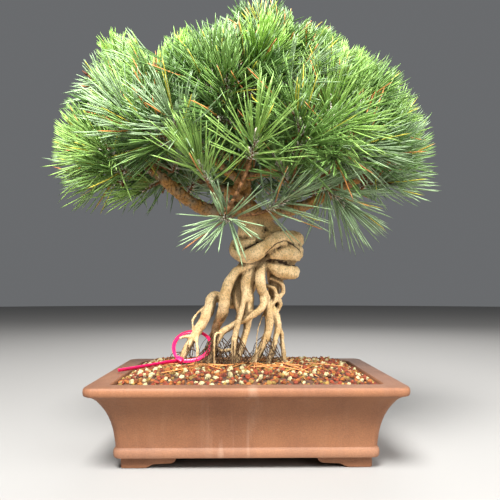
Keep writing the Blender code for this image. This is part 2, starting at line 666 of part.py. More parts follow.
def make_cable_tie():
    """A nylon tie looped round the big left root, its tail lying over the gravel."""
    lean = math.radians(TIE_LEAN)
    flat = Vector((1, 0, 0))
    rise = Vector((0, math.sin(lean), math.cos(lean)))
    across = flat.cross(rise)

    def band(name, points, sides):
        bm = bmesh.new()
        rings = []
        for i, point in enumerate(points):
            way = points[min(i + 1, len(points) - 1)] - points[max(i - 1, 0)]
            out = way.cross(sides[i]).normalized() * TIE_THICKNESS / 2
            wide = sides[i] * TIE_WIDTH / 2
            corners = (point + out + wide, point - out + wide, point - out - wide, point + out - wide)
            rings.append([bm.verts.new(corner * MM) for corner in corners])
        for near, far in zip(rings, rings[1:]):
            for k in range(4):
                bm.faces.new((near[k], near[(k + 1) % 4], far[(k + 1) % 4], far[k]))
        bm.faces.new(rings[0])
        bm.faces.new(rings[-1])
        return add_object(name, mesh_of(bm, name))

    def on_loop(degrees):
        turn = math.radians(degrees)
        off = min(degrees - TIE_HEAD_ANGLE, TIE_HEAD_ANGLE + 360.0 - degrees) / TIE_PINCH_WIDTH
        reach = TIE_LOOP_RADIUS * (1.0 + TIE_PINCH * math.exp(-abs(off) ** 1.5))
        return TIE_CENTRE + (flat * math.cos(turn) + rise * math.sin(turn)) * reach

    loop, sides = [], []
    for i in range(TIE_STEPS + 1):
        share = i / TIE_STEPS
        point = on_loop(TIE_HEAD_ANGLE + TIE_HEAD_SPAN + (360.0 - 2 * TIE_HEAD_SPAN) * share)
        twist = math.radians(TIE_TWIST[0] + (TIE_TWIST[1] - TIE_TWIST[0]) * share)
        out = (point - TIE_CENTRE).normalized()
        loop.append(point)
        sides.append(across * math.cos(twist) + out * math.sin(twist))
    tie = band("cable_tie", loop, sides)
    tie.data.materials.append(finish("nylon"))
    head_at = on_loop(TIE_HEAD_ANGLE)
    out = (head_at - TIE_CENTRE).normalized()
    turn = Matrix((out.cross(across), across, out)).transposed().to_4x4()
    bm = bmesh.new()
    bmesh.ops.create_cube(bm, size=MM)
    bmesh.ops.scale(bm, verts=bm.verts[:], vec=TIE_HEAD)
    bmesh.ops.transform(bm, verts=bm.verts[:], matrix=Matrix.Translation(head_at * MM) @ turn)
    head = add_object("head", mesh_of(bm, "head"))
    tail = [head_at] + [Vector(point) for point in TIE_TAIL]
    smoothed = [point for point, _ in through_bends([(*point, 1.0) for point in tail], TIE_TAIL_STEPS)]
    combine(tie, [head, band("tail", smoothed, [TIE_TAIL_SIDE] * len(smoothed))])


def main():
    """Clears the scene and makes every piece of the bonsai."""
    for leftover in list(bpy.data.objects):
        bpy.data.objects.remove(leftover)
    make_pot()
    make_soil()
    make_trunk()
    limbs = {name: bough_curve(name) for name in BOUGHS}
    for name, curve in limbs.items():
        make_bough(name, curve)
    limbs["top"] = through_bends(LEADER, KNOT_STEPS)
    make_masses(limbs)
    make_cable_tie()


main()
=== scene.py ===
"""Looks of an exposed-root black pine bonsai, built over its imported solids.

Run as a script, it dresses each solid of the frame: the fired pot, the gravel, the bark of
the roots, knot, leader and boughs, and the crown, which grows on from the limbs by the
solids' own rule into finer twigs and single needles. Routes and growth are in millimetres,
and settings are in metres, as Blender's own fields show them. +X is right, +Y back, +Z up.
"""

import math
import random

import bmesh
import bpy
import numpy as np
from bpy.props import FloatProperty, FloatVectorProperty, IntProperty, PointerProperty
from mathutils import Matrix, Vector, noise


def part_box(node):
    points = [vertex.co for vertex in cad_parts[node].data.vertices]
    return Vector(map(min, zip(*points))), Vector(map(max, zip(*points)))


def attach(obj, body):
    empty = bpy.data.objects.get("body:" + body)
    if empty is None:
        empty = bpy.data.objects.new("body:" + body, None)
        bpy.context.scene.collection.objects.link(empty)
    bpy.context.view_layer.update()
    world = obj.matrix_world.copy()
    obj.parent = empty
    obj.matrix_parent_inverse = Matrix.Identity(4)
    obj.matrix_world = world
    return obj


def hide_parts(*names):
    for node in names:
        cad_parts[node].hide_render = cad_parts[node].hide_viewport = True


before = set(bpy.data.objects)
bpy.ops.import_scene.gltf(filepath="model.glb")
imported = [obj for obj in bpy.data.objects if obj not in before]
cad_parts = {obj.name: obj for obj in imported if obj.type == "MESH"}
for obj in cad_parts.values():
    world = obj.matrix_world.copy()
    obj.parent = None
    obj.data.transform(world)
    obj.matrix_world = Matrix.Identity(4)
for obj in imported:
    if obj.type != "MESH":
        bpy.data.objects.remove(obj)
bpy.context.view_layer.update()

bl_info = {
    "name": "Black Pine Bonsai",
    "version": (1, 0, 0),
    "blender": (4, 5, 0),
    "location": "3D View > Sidebar > Bonsai",
    "description": "Builds an exposed-root black pine bonsai in its pot, piece by piece",
    "category": "Add Mesh",
}

MM = 0.001
BODY = "root"
POT_LOW, POT_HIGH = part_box("pot")
BOUGH_NODES = sorted(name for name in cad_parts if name.startswith("bough_"))
MASS_NODES = sorted(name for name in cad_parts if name.startswith("needles_"))
GOLDEN_ANGLE = math.pi * (3.0 - math.sqrt(5.0))
PIECE_TRIANGLES = 190_000
SEAM = 2e-5
LEVEL = 1e-6

# Limb routes, in millimetres: a few bends as (x, y, z, radius).
ROOTS = {
    "left": [(4, 16, 196, 6.5), (-18, 25, 177, 6.8), (-34, 20, 186, 7.3), (-45, 11, 185, 7.8),
             (-50, 5, 167, 7.5), (-65, 2, 140, 6.0), (-77, -1, 120, 4.8), (-86, -6, 96, 4.3)],
    "arch": [(22, 4, 238, 6.4), (9, -11, 230, 6.0), (-13, -12, 219, 6.2), (-26, -10, 196, 7.0),
             (-30, -3, 169, 7.8), (-40, 24, 146, 5.9), (-56, 38, 96, 5.0)],
    "rough": [(6, 8, 247, 9.0), (-8, 6, 214, 8.6), (-12, 5, 193, 8.6), (-9, 4, 174, 7.2), (3, 3, 154, 4.6)],
    "centre": [(16, 2, 245, 9.0), (2, -8, 210, 9.8), (2, -8, 178, 8.0), (1, -4, 148, 5.3),
               (-10, -9, 113, 4.2), (-17, -10, 96, 3.8)],
    "front": [(1, -13, 200, 4.5), (-6, -21, 171, 3.4), (-14, -17, 139, 3.8), (-19, -12, 96, 2.5)],
    "stub": [(26, -2, 243, 7.2), (18, -16, 216, 6.6), (19, -16, 198, 6.8), (27, -3, 184, 5.4)],
    "cross": [(21, -10, 194, 5.4), (19, -15, 172, 4.7), (-15, -10, 152, 4.4), (-35, -8, 136, 4.7),
              (-50, -12, 96, 3.0)],
    "right": [(22, -5, 190, 5.8), (30, -1, 160, 6.2), (26, 2, 133, 4.9), (4, -4, 96, 3.9)],
    "outer": [(25, 0, 187, 5.3), (41, 4, 157, 4.6), (38, 3, 131, 3.9), (26, -3, 96, 3.4)],
    "fork": [(41, 5, 154, 3.4), (47, 11, 135, 3.0), (51, 16, 96, 3.2)],
    "back": [(32, 8, 236, 8.7), (37, 10, 212, 8.8), (37, 12, 195, 8.0), (36, 15, 168, 5.5),
             (16, 44, 96, 4.2)],
    "gnarl": [(30, 0, 213, 3.4), (45, 1, 206, 3.6), (48, 4, 193, 3.2), (39, 1, 184, 3.4), (33, 0, 176, 3.0)],
    "twist": [(25, 3, 202, 3.0), (37, -1, 197, 3.0), (39, 1, 187, 3.4), (45, 5, 178, 3.4), (38, 9, 164, 3.0)],
    "thread": [(22, 0, 165, 1.4), (14, -4, 138, 1.2), (13, -8, 96, 1.2)],
    "hind": [(12, 12, 236, 7.0), (8, 34, 200, 5.6), (-12, 44, 150, 4.6), (-16, 42, 96, 3.8)],
    "curl": [(-32, -9, 141, 2.2), (-40, -18, 137, 2.0), (-40, -18, 96, 1.8)],
    "short": [(-41, -10, 123, 2.2), (-30, -7, 118, 2.2), (-18, -12, 121, 2.0)],
    "level": [(-86, -4, 134, 1.9), (-76, -2, 136, 2.3), (-62, 2, 134, 2.3)],
    "drop": [(-64, 0, 138, 2.6), (-63, -8, 122, 2.0), (-60, -14, 96, 1.8)],
    "whisker": [(-52, 8, 177, 1.9), (-68, 3, 160, 1.7), (-70, 2, 144, 1.4)],
}
KNOT = {
    "core": [(38, 5, 236, 14.0), (30, 4, 248, 21.0), (10, 2, 264, 19.5), (5, 4, 288, 16.5),
             (1, 5, 309, 13.5)],
    "shoulder": [(9, 3, 300, 10.6), (24, 5, 284, 10.8), (42, 1, 268, 10.2)],
    "band": [(-11, 14, 256, 10.5), (-11, -6, 245, 10.2), (6, -25, 240, 10.0), (40, -25, 260, 10.0),
             (66, 2, 261, 11.2), (46, 24, 248, 11.0)],
    "middle": [(50, 22, 245, 12.2), (62, -2, 245, 13.8), (48, -18, 244, 12.6), (29, -19, 240, 7.0)],
    "lower": [(25, -9, 231, 6.4), (43, -14, 222, 10.4), (60, -5, 220, 10.8), (40, 8, 218, 8.8)],
}
LEADER = [(2, 4, 298, 13.0), (-5, 4, 329, 11.4), (-1, 2, 356, 9.6), (12, 0, 389, 7.2),
          (23, -2, 430, 5.4), (30, -4, 492, 3.2)]

# Boughs: the height where each leaves the trunk, its elbow, its tip, and its radii.
BOUGHS = {
    "left": (305, (-58, -6, 303), (-126, -20, 354), 10.5, 6.6),
    "right": (290, (78, 0, 308), (156, -6, 346), 9.0, 5.0),
    "front_low": (316, (-22, -50, 318), (-24, -84, 296), 4.6, 2.8),
    "front_left": (337, (-48, -54, 360), (-96, -96, 376), 5.2, 3.0),
    "front_right": (344, (52, -50, 352), (104, -92, 368), 5.4, 3.0),
    "front": (386, (12, -52, 424), (2, -92, 452), 4.6, 2.8),
    "back_left": (326, (-50, 54, 346), (-104, 92, 374), 5.4, 3.0),
    "back_right": (352, (56, 52, 362), (108, 88, 372), 5.2, 3.0),
    "back": (366, (4, 66, 384), (0, 112, 404), 4.8, 3.0),
    "upper_left": (404, (-28, -8, 438), (-74, -18, 482), 4.6, 2.8),
    "upper_right": (392, (62, -10, 416), (122, -14, 462), 4.8, 2.8),
    "outer_left": (362, (-74, 4, 398), (-142, -6, 446), 5.2, 3.0),
    "upper_back": (420, (24, 46, 448), (22, 84, 476), 4.4, 2.8),
}

# The crown's growth, as in the solids: each mass's stem forks into twigs that end in shoots.
SEED = 11
STEM_LENGTH = 26.0
STEM_FORKS = (0.55, 1.0)
CELL_REACH = 2 * STEM_LENGTH
REACH_X = 258.0
REACH_Y = 196.0
CROWN_BASE = 358.0
CROWN_TOPS = [(-258, 400), (-248, 440), (-226, 476), (-208, 530), (-190, 546), (-55, 546), (-10, 590),
              (52, 594), (76, 568), (120, 542), (180, 520), (206, 488), (230, 446), (258, 372)]
SHOOT_INSET = 52.0
BOXINESS = 1.9
LOWEST_TILT = 92.0
OUTER_SHOOTS = 60
INNER_SHOOTS = 20
INNER_SHARE = 0.62
SHOOT_SPREAD = 12.0
SHOOT_SPACING = 31.0

# Tips of the sprays that stand out in the front view, and how many of them bear candles.
MARKED_SHOOTS = [
    (-170, -12, 498), (-84, -24, 506), (-44, -8, 518), (30, -8, 536), (146, -16, 486), (-204, -14, 436),
    (-30, -118, 276), (118, -66, 298), (11, -146, 366), (48, -136, 390), (-56, -134, 336),
    (-214, -14, 384), (-204, 4, 340), (208, -12, 372), (178, -40, 330), (-160, -70, 340),
    (-130, -40, 318), (204, 10, 420), (96, -118, 344), (54, -84, 306), (-206, -24, 474),
    (-150, 26, 496), (-124, -34, 482),
]
CANDLE_SHOOTS = 6
OUTWARD_FROM = CROWN_BASE - 60.0
OUTWARD_PULL = 0.8
UPWARD_PULL = 0.35
SHOOT_LENGTH = 40.0

# Finer growth: side shoots on the same shell, each from the nearest main shoot.
FINE_LAYERS = [(136, 1.0), (60, 0.78), (34, 0.54)]
FINE_SPACING = 25.0
FINE_LENGTH = (26.0, 38.0)
FINE_WANDER = 0.65
TWIG_SAG = 0.06
FINE_FORKS = (-0.1, 0.35)
TWIG_RADII = (2.3, 1.8)
TWIG_TAPER = (0.9, 0.8)
TWIG_STEPS = 3
TWIG_OVERLAP = 0.4
STEM_SUNK = 3.0
SHOOT_RADIUS = 1.6

# The crown's ragged underside, which only the shoots near these places hang below.
UNDERSIDE = 296.0
UNDERSIDE_RAGGED = 14.0
LOW_SPRAYS = [(-30.0, 276.0, 60.0), (118.0, 298.0, 40.0), (54.0, 306.0, 30.0)]

# Where the sky begins over the crown in the front view, as (x, z) on the trunk's plane.
SKY_LINE = [
    (-262, 372), (-258, 418), (-252, 445), (-237, 468), (-224, 494), (-207, 512), (-204, 544),
    (-191, 556), (-155, 557), (-149, 541), (-140, 512), (-119, 512), (-112, 543), (-98, 557),
    (-63, 556), (-50, 562), (-25, 573), (-8, 592), (50, 594), (60, 572), (72, 550), (82, 560),
    (104, 560), (126, 548), (138, 538), (143, 516), (151, 526), (188, 518), (212, 498), (232, 470),
    (241, 447), (252, 430), (260, 366),
]

# Shoots whose tips appear above the first share are left out, and needles that still end
# above the second one. Each spray has its own limit, and a few stragglers reach further.
CLEAR_SHARE = 0.97
SKY_SHARE = 1.06
SKY_RAGGED = (0.92, 1.02)
STRAGGLERS = 0.03
STRAGGLER_REACH = 0.12

# Places that are open in the front view: middle in x and z, radius, how far back they
# reach, and the share of needles that they lose.
OPEN_PLACES = [
    (-112.0, 347.0, 17.0, -8.0, 0.85), (-92.0, 331.0, 18.0, -8.0, 0.85), (-72.0, 315.0, 18.0, -8.0, 0.85),
    (-54.0, 302.0, 16.0, -8.0, 0.85), (-16.0, 330.0, 20.0, -4.0, 0.35), (30.0, 326.0, 18.0, -4.0, 0.3),
    (90.0, 320.0, 15.0, -4.0, 0.4),
]


def linear(colour):
    """An sRGB hex colour as the linear values that a shader reads."""
    srgb = [int(colour[i:i + 2], 16) / 255 for i in (1, 3, 5)]
    return [c / 12.92 if c <= 0.04045 else ((c + 0.055) / 1.055) ** 2.4 for c in srgb]


def length_setting(name, description, default):
    """A length that a user may change, in metres."""
    return FloatProperty(name=name, description=description, default=default, min=0.0, unit="LENGTH")


def colour_setting(name, description, default):
    """A colour that a user may change, from its sRGB hex value."""
    return FloatVectorProperty(name=name, description=description, default=linear(default),
                               subtype="COLOR", size=3, min=0.0, max=1.0)


class PotSettings(bpy.types.PropertyGroup):
    """The pot's sizes and clay."""

    length: length_setting("Length", "Lip to lip, from left to right", POT_HIGH.x - POT_LOW.x)
    depth: length_setting("Depth", "Lip to lip, from front to back", POT_HIGH.y - POT_LOW.y)
    lip_width: length_setting("Lip width", "Flat top of the lip", 0.024)
    corner: length_setting("Corner radius", "Round of the lip's corners in plan", 0.009)
    clay: colour_setting("Clay", "Fired clay", "#8c5c3c")
    clay_dark: colour_setting("Dark clay", "Clay where it took more smoke", "#7a4e34")
    # This pale is also painted round the bead, as a painted highlight.
    salts_and_highlight: colour_setting("Bloom", "Pale salts where water ran down", "#d6b8a0")


class SoilSettings(bpy.types.PropertyGroup):
    """The gravel's grains."""

    spacing: length_setting("Spacing", "Distance between the grains of the top layer", 0.0045)
    smallest: length_setting("Smallest grain", "Length of the smallest grain", 0.0044)
    largest: length_setting("Largest grain", "Length of the largest grain", 0.0086)


class BarkSettings(bpy.types.PropertyGroup):
    """Relief and colours of the bark."""

    grid: length_setting("Grid", "Size of the bark mesh's faces", 0.0012)
    relief: length_setting("Relief", "Depth of the bark's wrinkles and plates", 0.0009)
    pale: colour_setting("Pale bark", "Worn ridges of the roots", "#f6d8a6")
    tan: colour_setting("Tan bark", "Body of the roots and the knot", "#cba56a")
    # Painted shade: the dark that the bark turns to in its hollows, along the knot's crease lines and where
    # other bark faces it.
    crevice_shade: colour_setting("Crevice", "Creases and cracks", "#35230f")
    orange: colour_setting("Orange bark", "Flaky bark of the leader and boughs", "#ab7b40")
    grey: colour_setting("Grey bark", "Old rough plates", "#8f7e64")
    hair: colour_setting("Root hair", "Fine roots at the soil line", "#6b4e30")


class CrownSettings(bpy.types.PropertyGroup):
    """Needles, buds and twigs."""

    needle_short: length_setting("Shortest needle", "Length of the shortest grown needle", 0.056)
    needle_long: length_setting("Longest needle", "Length of the longest grown needle", 0.074)
    needle_radius: length_setting("Needle radius", "Half of a needle's thickness", 0.00088)
    needles: IntProperty(name="Needles", description="Needles on a full shoot", default=84, min=2)
    candle_needles: IntProperty(name="Candle needles", description="Needles on a new candle",
                                default=70, min=2)
    twig: colour_setting("Twig", "Bark of the twigs", "#8f6238")
    stalk: colour_setting("Candle stalk", "Scaly stalk of a new candle", "#b98f70")
    bud: colour_setting("Bud", "Resting bud", "#6b3a22")
    sheath: colour_setting("Sheath", "Papery sheath at a needle pair's foot", "#efe6d2")


class TieSettings(bpy.types.PropertyGroup):
    """The cable tie."""

    width: length_setting("Width", "Width of the strap", 0.0048)
    thickness: length_setting("Thickness", "Thickness of the strap", 0.0013)
    loop_radius: length_setting("Loop radius", "Radius of the loop", 0.0235)
    nylon: colour_setting("Nylon", "Dyed nylon", "#f01e64")


class StageSettings(bpy.types.PropertyGroup):
    """Floor, light and camera."""

    floor_radius: length_setting("Floor radius", "Radius of the pale floor", 8.0)
    floor: colour_setting("Floor", "Pale floor", "#8c8a87")
    backdrop: colour_setting("Backdrop", "Light from all round", "#d3d6da")
    lens: FloatProperty(name="Lens", description="Focal length in millimetres", default=38.16)


def add_node(material, kind, inputs=None, stops=None, **settings):
    """Adds a node with its settings, its input values or links, and a ramp's colour stops."""
    made = material.node_tree.nodes.new(kind)
    for name, value in settings.items():
        setattr(made, name, value)
    for socket, value in (inputs or {}).items():
        if isinstance(value, bpy.types.NodeSocket):
            material.node_tree.links.new(value, made.inputs[socket])
        else:
            made.inputs[socket].default_value = value
    for i, (place, colour) in enumerate(stops or []):
        elements = made.color_ramp.elements
        stop = elements[i] if i < 2 else elements.new(place)
        stop.position = place
        stop.color = (*colour, 1.0)
    return made


def new_material(name, roughness, base=(0.5, 0.5, 0.5), **inputs):
    """A Principled material and its shader, with the sockets that are the same all over."""
    made = bpy.data.materials.new(name)
    made.use_nodes = True
    shader = made.node_tree.nodes["Principled BSDF"]
    shader.inputs["Base Color"].default_value = (*base, 1.0)
    shader.inputs["Roughness"].default_value = roughness
    for socket, value in inputs.items():
        shader.inputs[socket.replace("_", " ")].default_value = value
    return made, shader


def link(material, output, socket):
    """Joins a node's output to a socket."""
    material.node_tree.links.new(output, socket)


def add_piece(name, mesh, material, slot, *nodes):
    """Puts a finished mesh in the scene, riding on the plant's one body."""
    piece = bpy.data.objects.new(name, mesh)
    bpy.context.scene.collection.objects.link(piece)
    mesh.materials.clear()
    mesh.materials.append(material)
    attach(piece, BODY)
    if nodes:
        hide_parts(*nodes)


def loose_object(name, mesh):
    """An object in the scene for a modifier to work on."""
    made = bpy.data.objects.new(name, mesh)
    bpy.context.scene.collection.objects.link(made)
    return made


def mesh_of(bm, name):
    """Turns a bmesh into a mesh whose faces point outwards."""
    bmesh.ops.recalc_face_normals(bm, faces=bm.faces[:])
    mesh = bpy.data.meshes.new(name)
    bm.to_mesh(mesh)
    bm.free()
    return mesh


def pushed_face(bm, face):
    """Extrudes a face and gives its far end, with no wall left behind inside the shape."""
    pushed = bmesh.ops.extrude_face_region(bm, geom=[face])["geom"]
    end = next(item for item in pushed if isinstance(item, bmesh.types.BMFace))
    if any(len(edge.link_faces) > 2 for edge in face.edges):
        bmesh.ops.delete(bm, geom=[face], context="FACES_ONLY")
    return end


def evaluated_mesh(obj):
    """The object's mesh as its modifiers leave it."""
    bpy.context.view_layer.update()
    graph = bpy.context.evaluated_depsgraph_get()
    return bpy.data.meshes.new_from_object(obj.evaluated_get(graph))


def combined(base, parts, operation):
    """The mesh of base with the parts joined or cut by one Boolean, and the objects removed."""
    group = bpy.data.collections.new("parts")
    bpy.context.scene.collection.children.link(group)
    for part in parts:
        bpy.context.scene.collection.objects.unlink(part)
        group.objects.link(part)
    boolean = base.modifiers.new("combine", "BOOLEAN")
    boolean.operation = operation
    boolean.operand_type = "COLLECTION"
    boolean.collection = group
    mesh = evaluated_mesh(base)
    for used in [base, *parts]:
        bpy.data.objects.remove(used)
    bpy.data.collections.remove(group)
    return mesh


def weld(mesh):
    """Closes the hairline seams that a Boolean leaves."""
    bm = bmesh.new()
    bm.from_mesh(mesh)
    bmesh.ops.remove_doubles(bm, verts=bm.verts[:], dist=SEAM)
    bmesh.ops.dissolve_degenerate(bm, edges=bm.edges[:], dist=SEAM)
    rims = [edge for edge in bm.edges if len(edge.link_faces) == 1]
    bmesh.ops.holes_fill(bm, edges=rims, sides=4)
    bm.to_mesh(mesh)
    bm.free()


def smooth_shading(mesh, angle):
    """Shades round faces smooth and keeps real edges sharp."""
    mesh.shade_smooth()
    mesh.set_sharp_from_angle(angle=math.radians(angle))


def through_bends(route, steps):
    """Points and radii on a smooth curve through a route's bends."""
    bends = [(Vector(bend[:3]), bend[3]) for bend in route]
    bends = [(2 * bends[0][0] - bends[1][0], bends[0][1])] + bends
    bends.append((2 * bends[-1][0] - bends[-2][0], bends[-1][1]))
    curve = []
    for i in range(1, len(bends) - 2):
        before, start, end, after = (bends[i + k] for k in (-1, 0, 1, 2))
        for step in range(steps + (i == len(bends) - 3)):
            t = step / steps
            point = 0.5 * (2 * start[0] + (end[0] - before[0]) * t
                           + (2 * before[0] - 5 * start[0] + 4 * end[0] - after[0]) * t * t
                           + (3 * start[0] - before[0] - 3 * end[0] + after[0]) * t ** 3)
            curve.append((point, start[1] + (end[1] - start[1]) * t))
    return curve


# Pot

FOOT_HEIGHT = 12.0
FLOOR_THICKNESS = 8.0
CORNER_STEPS = 8
POT_EDGE_ANGLE = 32.0
DRAIN_RADIUS = 9.0
DRAIN_SPACING = 140.0

# Wall sections as (inset from the lip's outer edge, height above the table).
OUTER_WALL = [
    (31.0, 12.0), (28.9, 12.5), (28.1, 14.4), (27.9, 17.4), (28.1, 20.4), (29.0, 22.4), (29.8, 23.4),
    (29.5, 27.0), (28.0, 38.0), (26.7, 44.5), (25.0, 51.0), (22.6, 57.8), (19.5, 64.5),
    (15.8, 70.6), (11.5, 76.5), (7.8, 79.8), (4.6, 81.5), (2.6, 82.2),
]
LIP_WIDTH = 24.0
LIP = [
    (1.0, 83.0), (0.3, 84.4), (0.0, 87.0), (0.1, 89.2), (0.6, 90.9), (1.6, 92.0), (3.2, 92.4),
    (21.4, 92.4), (22.9, 92.0), (23.8, 90.9), (24.0, 89.4), (24.2, 84.0),
]
INNER_WALL = [(28.5, 64.0), (34.0, 50.0), (37.0, 36.0), (38.5, 23.0), (40.5, 20.0)]

# In metres: the bead's height, and where across the front the water marks run.
BEAD_MIDDLE = 0.0174
MARK_PLACE = -0.016
FOOT_INSET = 36.0
FOOT_DEPTH = 15.0
FOOT_EDGE = 0.9
FOOT_OUTLINE = [
    (0.0, 15.0), (2.0, 0.0), (25.0, 0.0), (28.2, 0.3), (31.0, 1.4), (33.3, 2.8), (35.5, 3.7),
    (38.5, 4.1), (45.0, 4.3), (53.0, 4.6), (56.5, 5.1), (59.0, 6.6), (60.6, 8.8), (61.4, 12.0), (62.0, 15.0),
]


def fired_clay(settings):
    """Unglazed stoneware: sanded clay, fired dry, so it is matt with a fine grit and faint salts."""
    made, shader = new_material("unglazed_stoneware", 0.7)
    place = add_node(made, "ShaderNodeTexCoord").outputs["Object"]
    smoke = add_node(made, "ShaderNodeTexNoise",
                     {"Vector": place, "Scale": 14.0, "Detail": 4.0, "Roughness": 0.6})
    grit = add_node(made, "ShaderNodeTexNoise", {"Vector": place, "Scale": 700.0, "Detail": 2.0})
    body = add_node(made, "ShaderNodeValToRGB", {"Fac": smoke.outputs["Fac"]},
                    stops=[(0.3, settings.clay_dark), (0.62, settings.clay)])
    grains = add_node(made, "ShaderNodeMapRange", {
        "Value": grit.outputs["Fac"], "From Min": 0.3, "From Max": 0.7, "To Min": 0.86, "To Max": 1.14})
    facing = add_node(made, "ShaderNodeNewGeometry")
    upright = add_node(made, "ShaderNodeSeparateXYZ", {"Vector": facing.outputs["Normal"]})
    # Painted shade: faces that point up, as the lip's top, are darkened, down to 0.56 of the clay where they
    # face straight up.
    top_shade = add_node(made, "ShaderNodeMapRange", {
        "Value": upright.outputs["Z"], "From Min": 0.3, "From Max": 1.0, "To Min": 1.0, "To Max": 0.56})
    tone = add_node(made, "ShaderNodeMath",
                    {0: grains.outputs["Result"], 1: top_shade.outputs["Result"]}, operation="MULTIPLY")
    grit_and_top_shade = add_node(made, "ShaderNodeVectorMath",
                      {0: body.outputs["Color"], "Scale": tone.outputs[0]}, operation="SCALE")
    spread = add_node(made, "ShaderNodeSeparateXYZ", {"Vector": place})
    runs = add_node(made, "ShaderNodeMapping", {"Vector": place, "Scale": (95.0, 20.0, 9.0)})
    streaks = add_node(made, "ShaderNodeTexNoise",
                       {"Vector": runs.outputs["Vector"], "Scale": 1.0, "Detail": 3.0, "Distortion": 0.5})
    streak = add_node(made, "ShaderNodeMapRange", {
        "Value": streaks.outputs["Fac"], "From Min": 0.52, "From Max": 0.72, "To Min": 0.0, "To Max": 0.22})
    offset = add_node(made, "ShaderNodeMath", {0: spread.outputs["X"], 1: MARK_PLACE}, operation="SUBTRACT")
    far = add_node(made, "ShaderNodeMath", {0: offset.outputs[0]}, operation="ABSOLUTE")
    middle = add_node(made, "ShaderNodeMapRange", {
        "Value": far.outputs[0], "From Min": 0.012, "From Max": 0.04, "To Min": 1.0, "To Max": 0.12})
    salted = add_node(made, "ShaderNodeMath",
                      {0: streak.outputs["Result"], 1: middle.outputs["Result"]}, operation="MULTIPLY")
    # Painted highlight: a band of the salts' pale round the bead, for its top that takes the light from
    # above. The streaks are the salts.
    over_bead = add_node(made, "ShaderNodeMath",
                         {0: spread.outputs["Z"], 1: BEAD_MIDDLE}, operation="SUBTRACT")
    from_bead = add_node(made, "ShaderNodeMath", {0: over_bead.outputs[0]}, operation="ABSOLUTE")
    bead_highlight = add_node(made, "ShaderNodeMapRange", {
        "Value": from_bead.outputs[0], "From Min": 0.0045, "From Max": 0.0065, "To Min": 0.07, "To Max": 0.0})
    salts_and_bead_highlight = add_node(made, "ShaderNodeMath",
                       {0: bead_highlight.outputs["Result"], 1: salted.outputs[0]}, operation="ADD")
    mixed = add_node(made, "ShaderNodeMix", {
        "Factor": salts_and_bead_highlight.outputs[0], "A": grit_and_top_shade.outputs[0], "B": (*settings.salts_and_highlight, 1.0)},
        data_type="RGBA")
    link(made, mixed.outputs["Result"], shader.inputs["Base Color"])
    sheen = add_node(made, "ShaderNodeMapRange", {
        "Value": smoke.outputs["Fac"], "To Min": 0.8, "To Max": 0.58})
    link(made, sheen.outputs["Result"], shader.inputs["Roughness"])
    relief = add_node(made, "ShaderNodeBump",
                      {"Height": grit.outputs["Fac"], "Strength": 0.35, "Distance": 0.0004})
    link(made, relief.outputs["Normal"], shader.inputs["Normal"])
    return made


class BONSAI_OT_pot(bpy.types.Operator):
    """Throws the rectangular pot with its lip, bead, cloud feet and drains"""

    bl_idname = "bonsai.pot"
    bl_label = "Pot"

    def execute(self, context):
        settings = context.scene.bonsai_pot
        half = Vector((settings.length, settings.depth)) / 2
        bm = bmesh.new()
        inset, height = OUTER_WALL[0]
        corners = [bm.verts.new((sx * (half.x - inset * MM), sy * (half.y - inset * MM), height * MM))
                   for sx, sy in ((-1, -1), (1, -1), (1, 1), (-1, 1))]
        bm.faces.new(corners)
        bmesh.ops.bevel(bm, geom=corners, offset=settings.corner, segments=CORNER_STEPS, profile=0.5,
                        affect="VERTICES", material=-1)
        top = bm.faces[:][0]
        lip = [(i if i < LIP_WIDTH / 2 else i - LIP_WIDTH + settings.lip_width / MM, h) for i, h in LIP]
        for next_inset, next_height in OUTER_WALL[1:] + lip + INNER_WALL:
            top = pushed_face(bm, top)
            grown = [(h - next_inset * MM) / (h - inset * MM) for h in half]
            bmesh.ops.scale(bm, verts=top.verts[:], vec=(*grown, 1.0))
            bmesh.ops.translate(bm, verts=top.verts[:], vec=(0, 0, (next_height - height) * MM))
            inset, height = next_inset, next_height
        pot = loose_object("pot_body", mesh_of(bm, "pot_body"))
        mesh = combined(pot, self.feet(half), "UNION")
        mesh = combined(loose_object("pot_body", mesh), self.drains(), "DIFFERENCE")
        weld(mesh)
        smooth_shading(mesh, POT_EDGE_ANGLE)
        add_piece("fired_pot", mesh, fired_clay(settings), "stoneware", "pot")
        return {"FINISHED"}

    def feet(self, half):
        """Two legs at each corner, cut to the cloud outline with softened edges."""
        legs = []
        up = Vector((0, 0, 1))
        for side_x, side_y in ((-1, -1), (-1, 1), (1, -1), (1, 1)):
            in_x, in_y = Vector((-side_x, 0, 0)), Vector((0, -side_y, 0))
            corner = Vector((side_x * (half.x - FOOT_INSET * MM), side_y * (half.y - FOOT_INSET * MM), 0))
            for along, through in ((in_x, in_y), (in_y, in_x)):
                bm = bmesh.new()
                outline = [bm.verts.new(corner + (along * a + up * b) * MM) for a, b in FOOT_OUTLINE]
                end = pushed_face(bm, bm.faces.new(outline))
                bmesh.ops.translate(bm, verts=end.verts[:], vec=through * FOOT_DEPTH * MM)
                rims = [edge for edge in bm.edges
                        if abs((edge.verts[0].co - edge.verts[1].co).dot(through)) < LEVEL]
                bmesh.ops.bevel(bm, geom=rims, offset=FOOT_EDGE * MM, segments=2, profile=0.5,
                                affect="EDGES", material=-1)
                legs.append(loose_object("leg", mesh_of(bm, "leg")))
        return legs

    def drains(self):
        """Round cutters for the two holes in the floor."""
        cutters = []
        for side in (-1, 1):
            bm = bmesh.new()
            middle = (side * DRAIN_SPACING / 2 * MM, 0, (FOOT_HEIGHT + FLOOR_THICKNESS / 2) * MM)
            bmesh.ops.create_cone(bm, cap_ends=True, segments=32, radius1=DRAIN_RADIUS * MM,
                                  radius2=DRAIN_RADIUS * MM, depth=3 * FLOOR_THICKNESS * MM,
                                  matrix=Matrix.Translation(middle))
            cutters.append(loose_object("drain", mesh_of(bm, "drain")))
        return cutters


# Gravel

SOIL_EDGE = (151.0, 105.0)
SOIL_LEVEL = (104.0, 54.0)
SOIL_EDGE_HEIGHT = 85.5
SOIL_TOP = 100.0

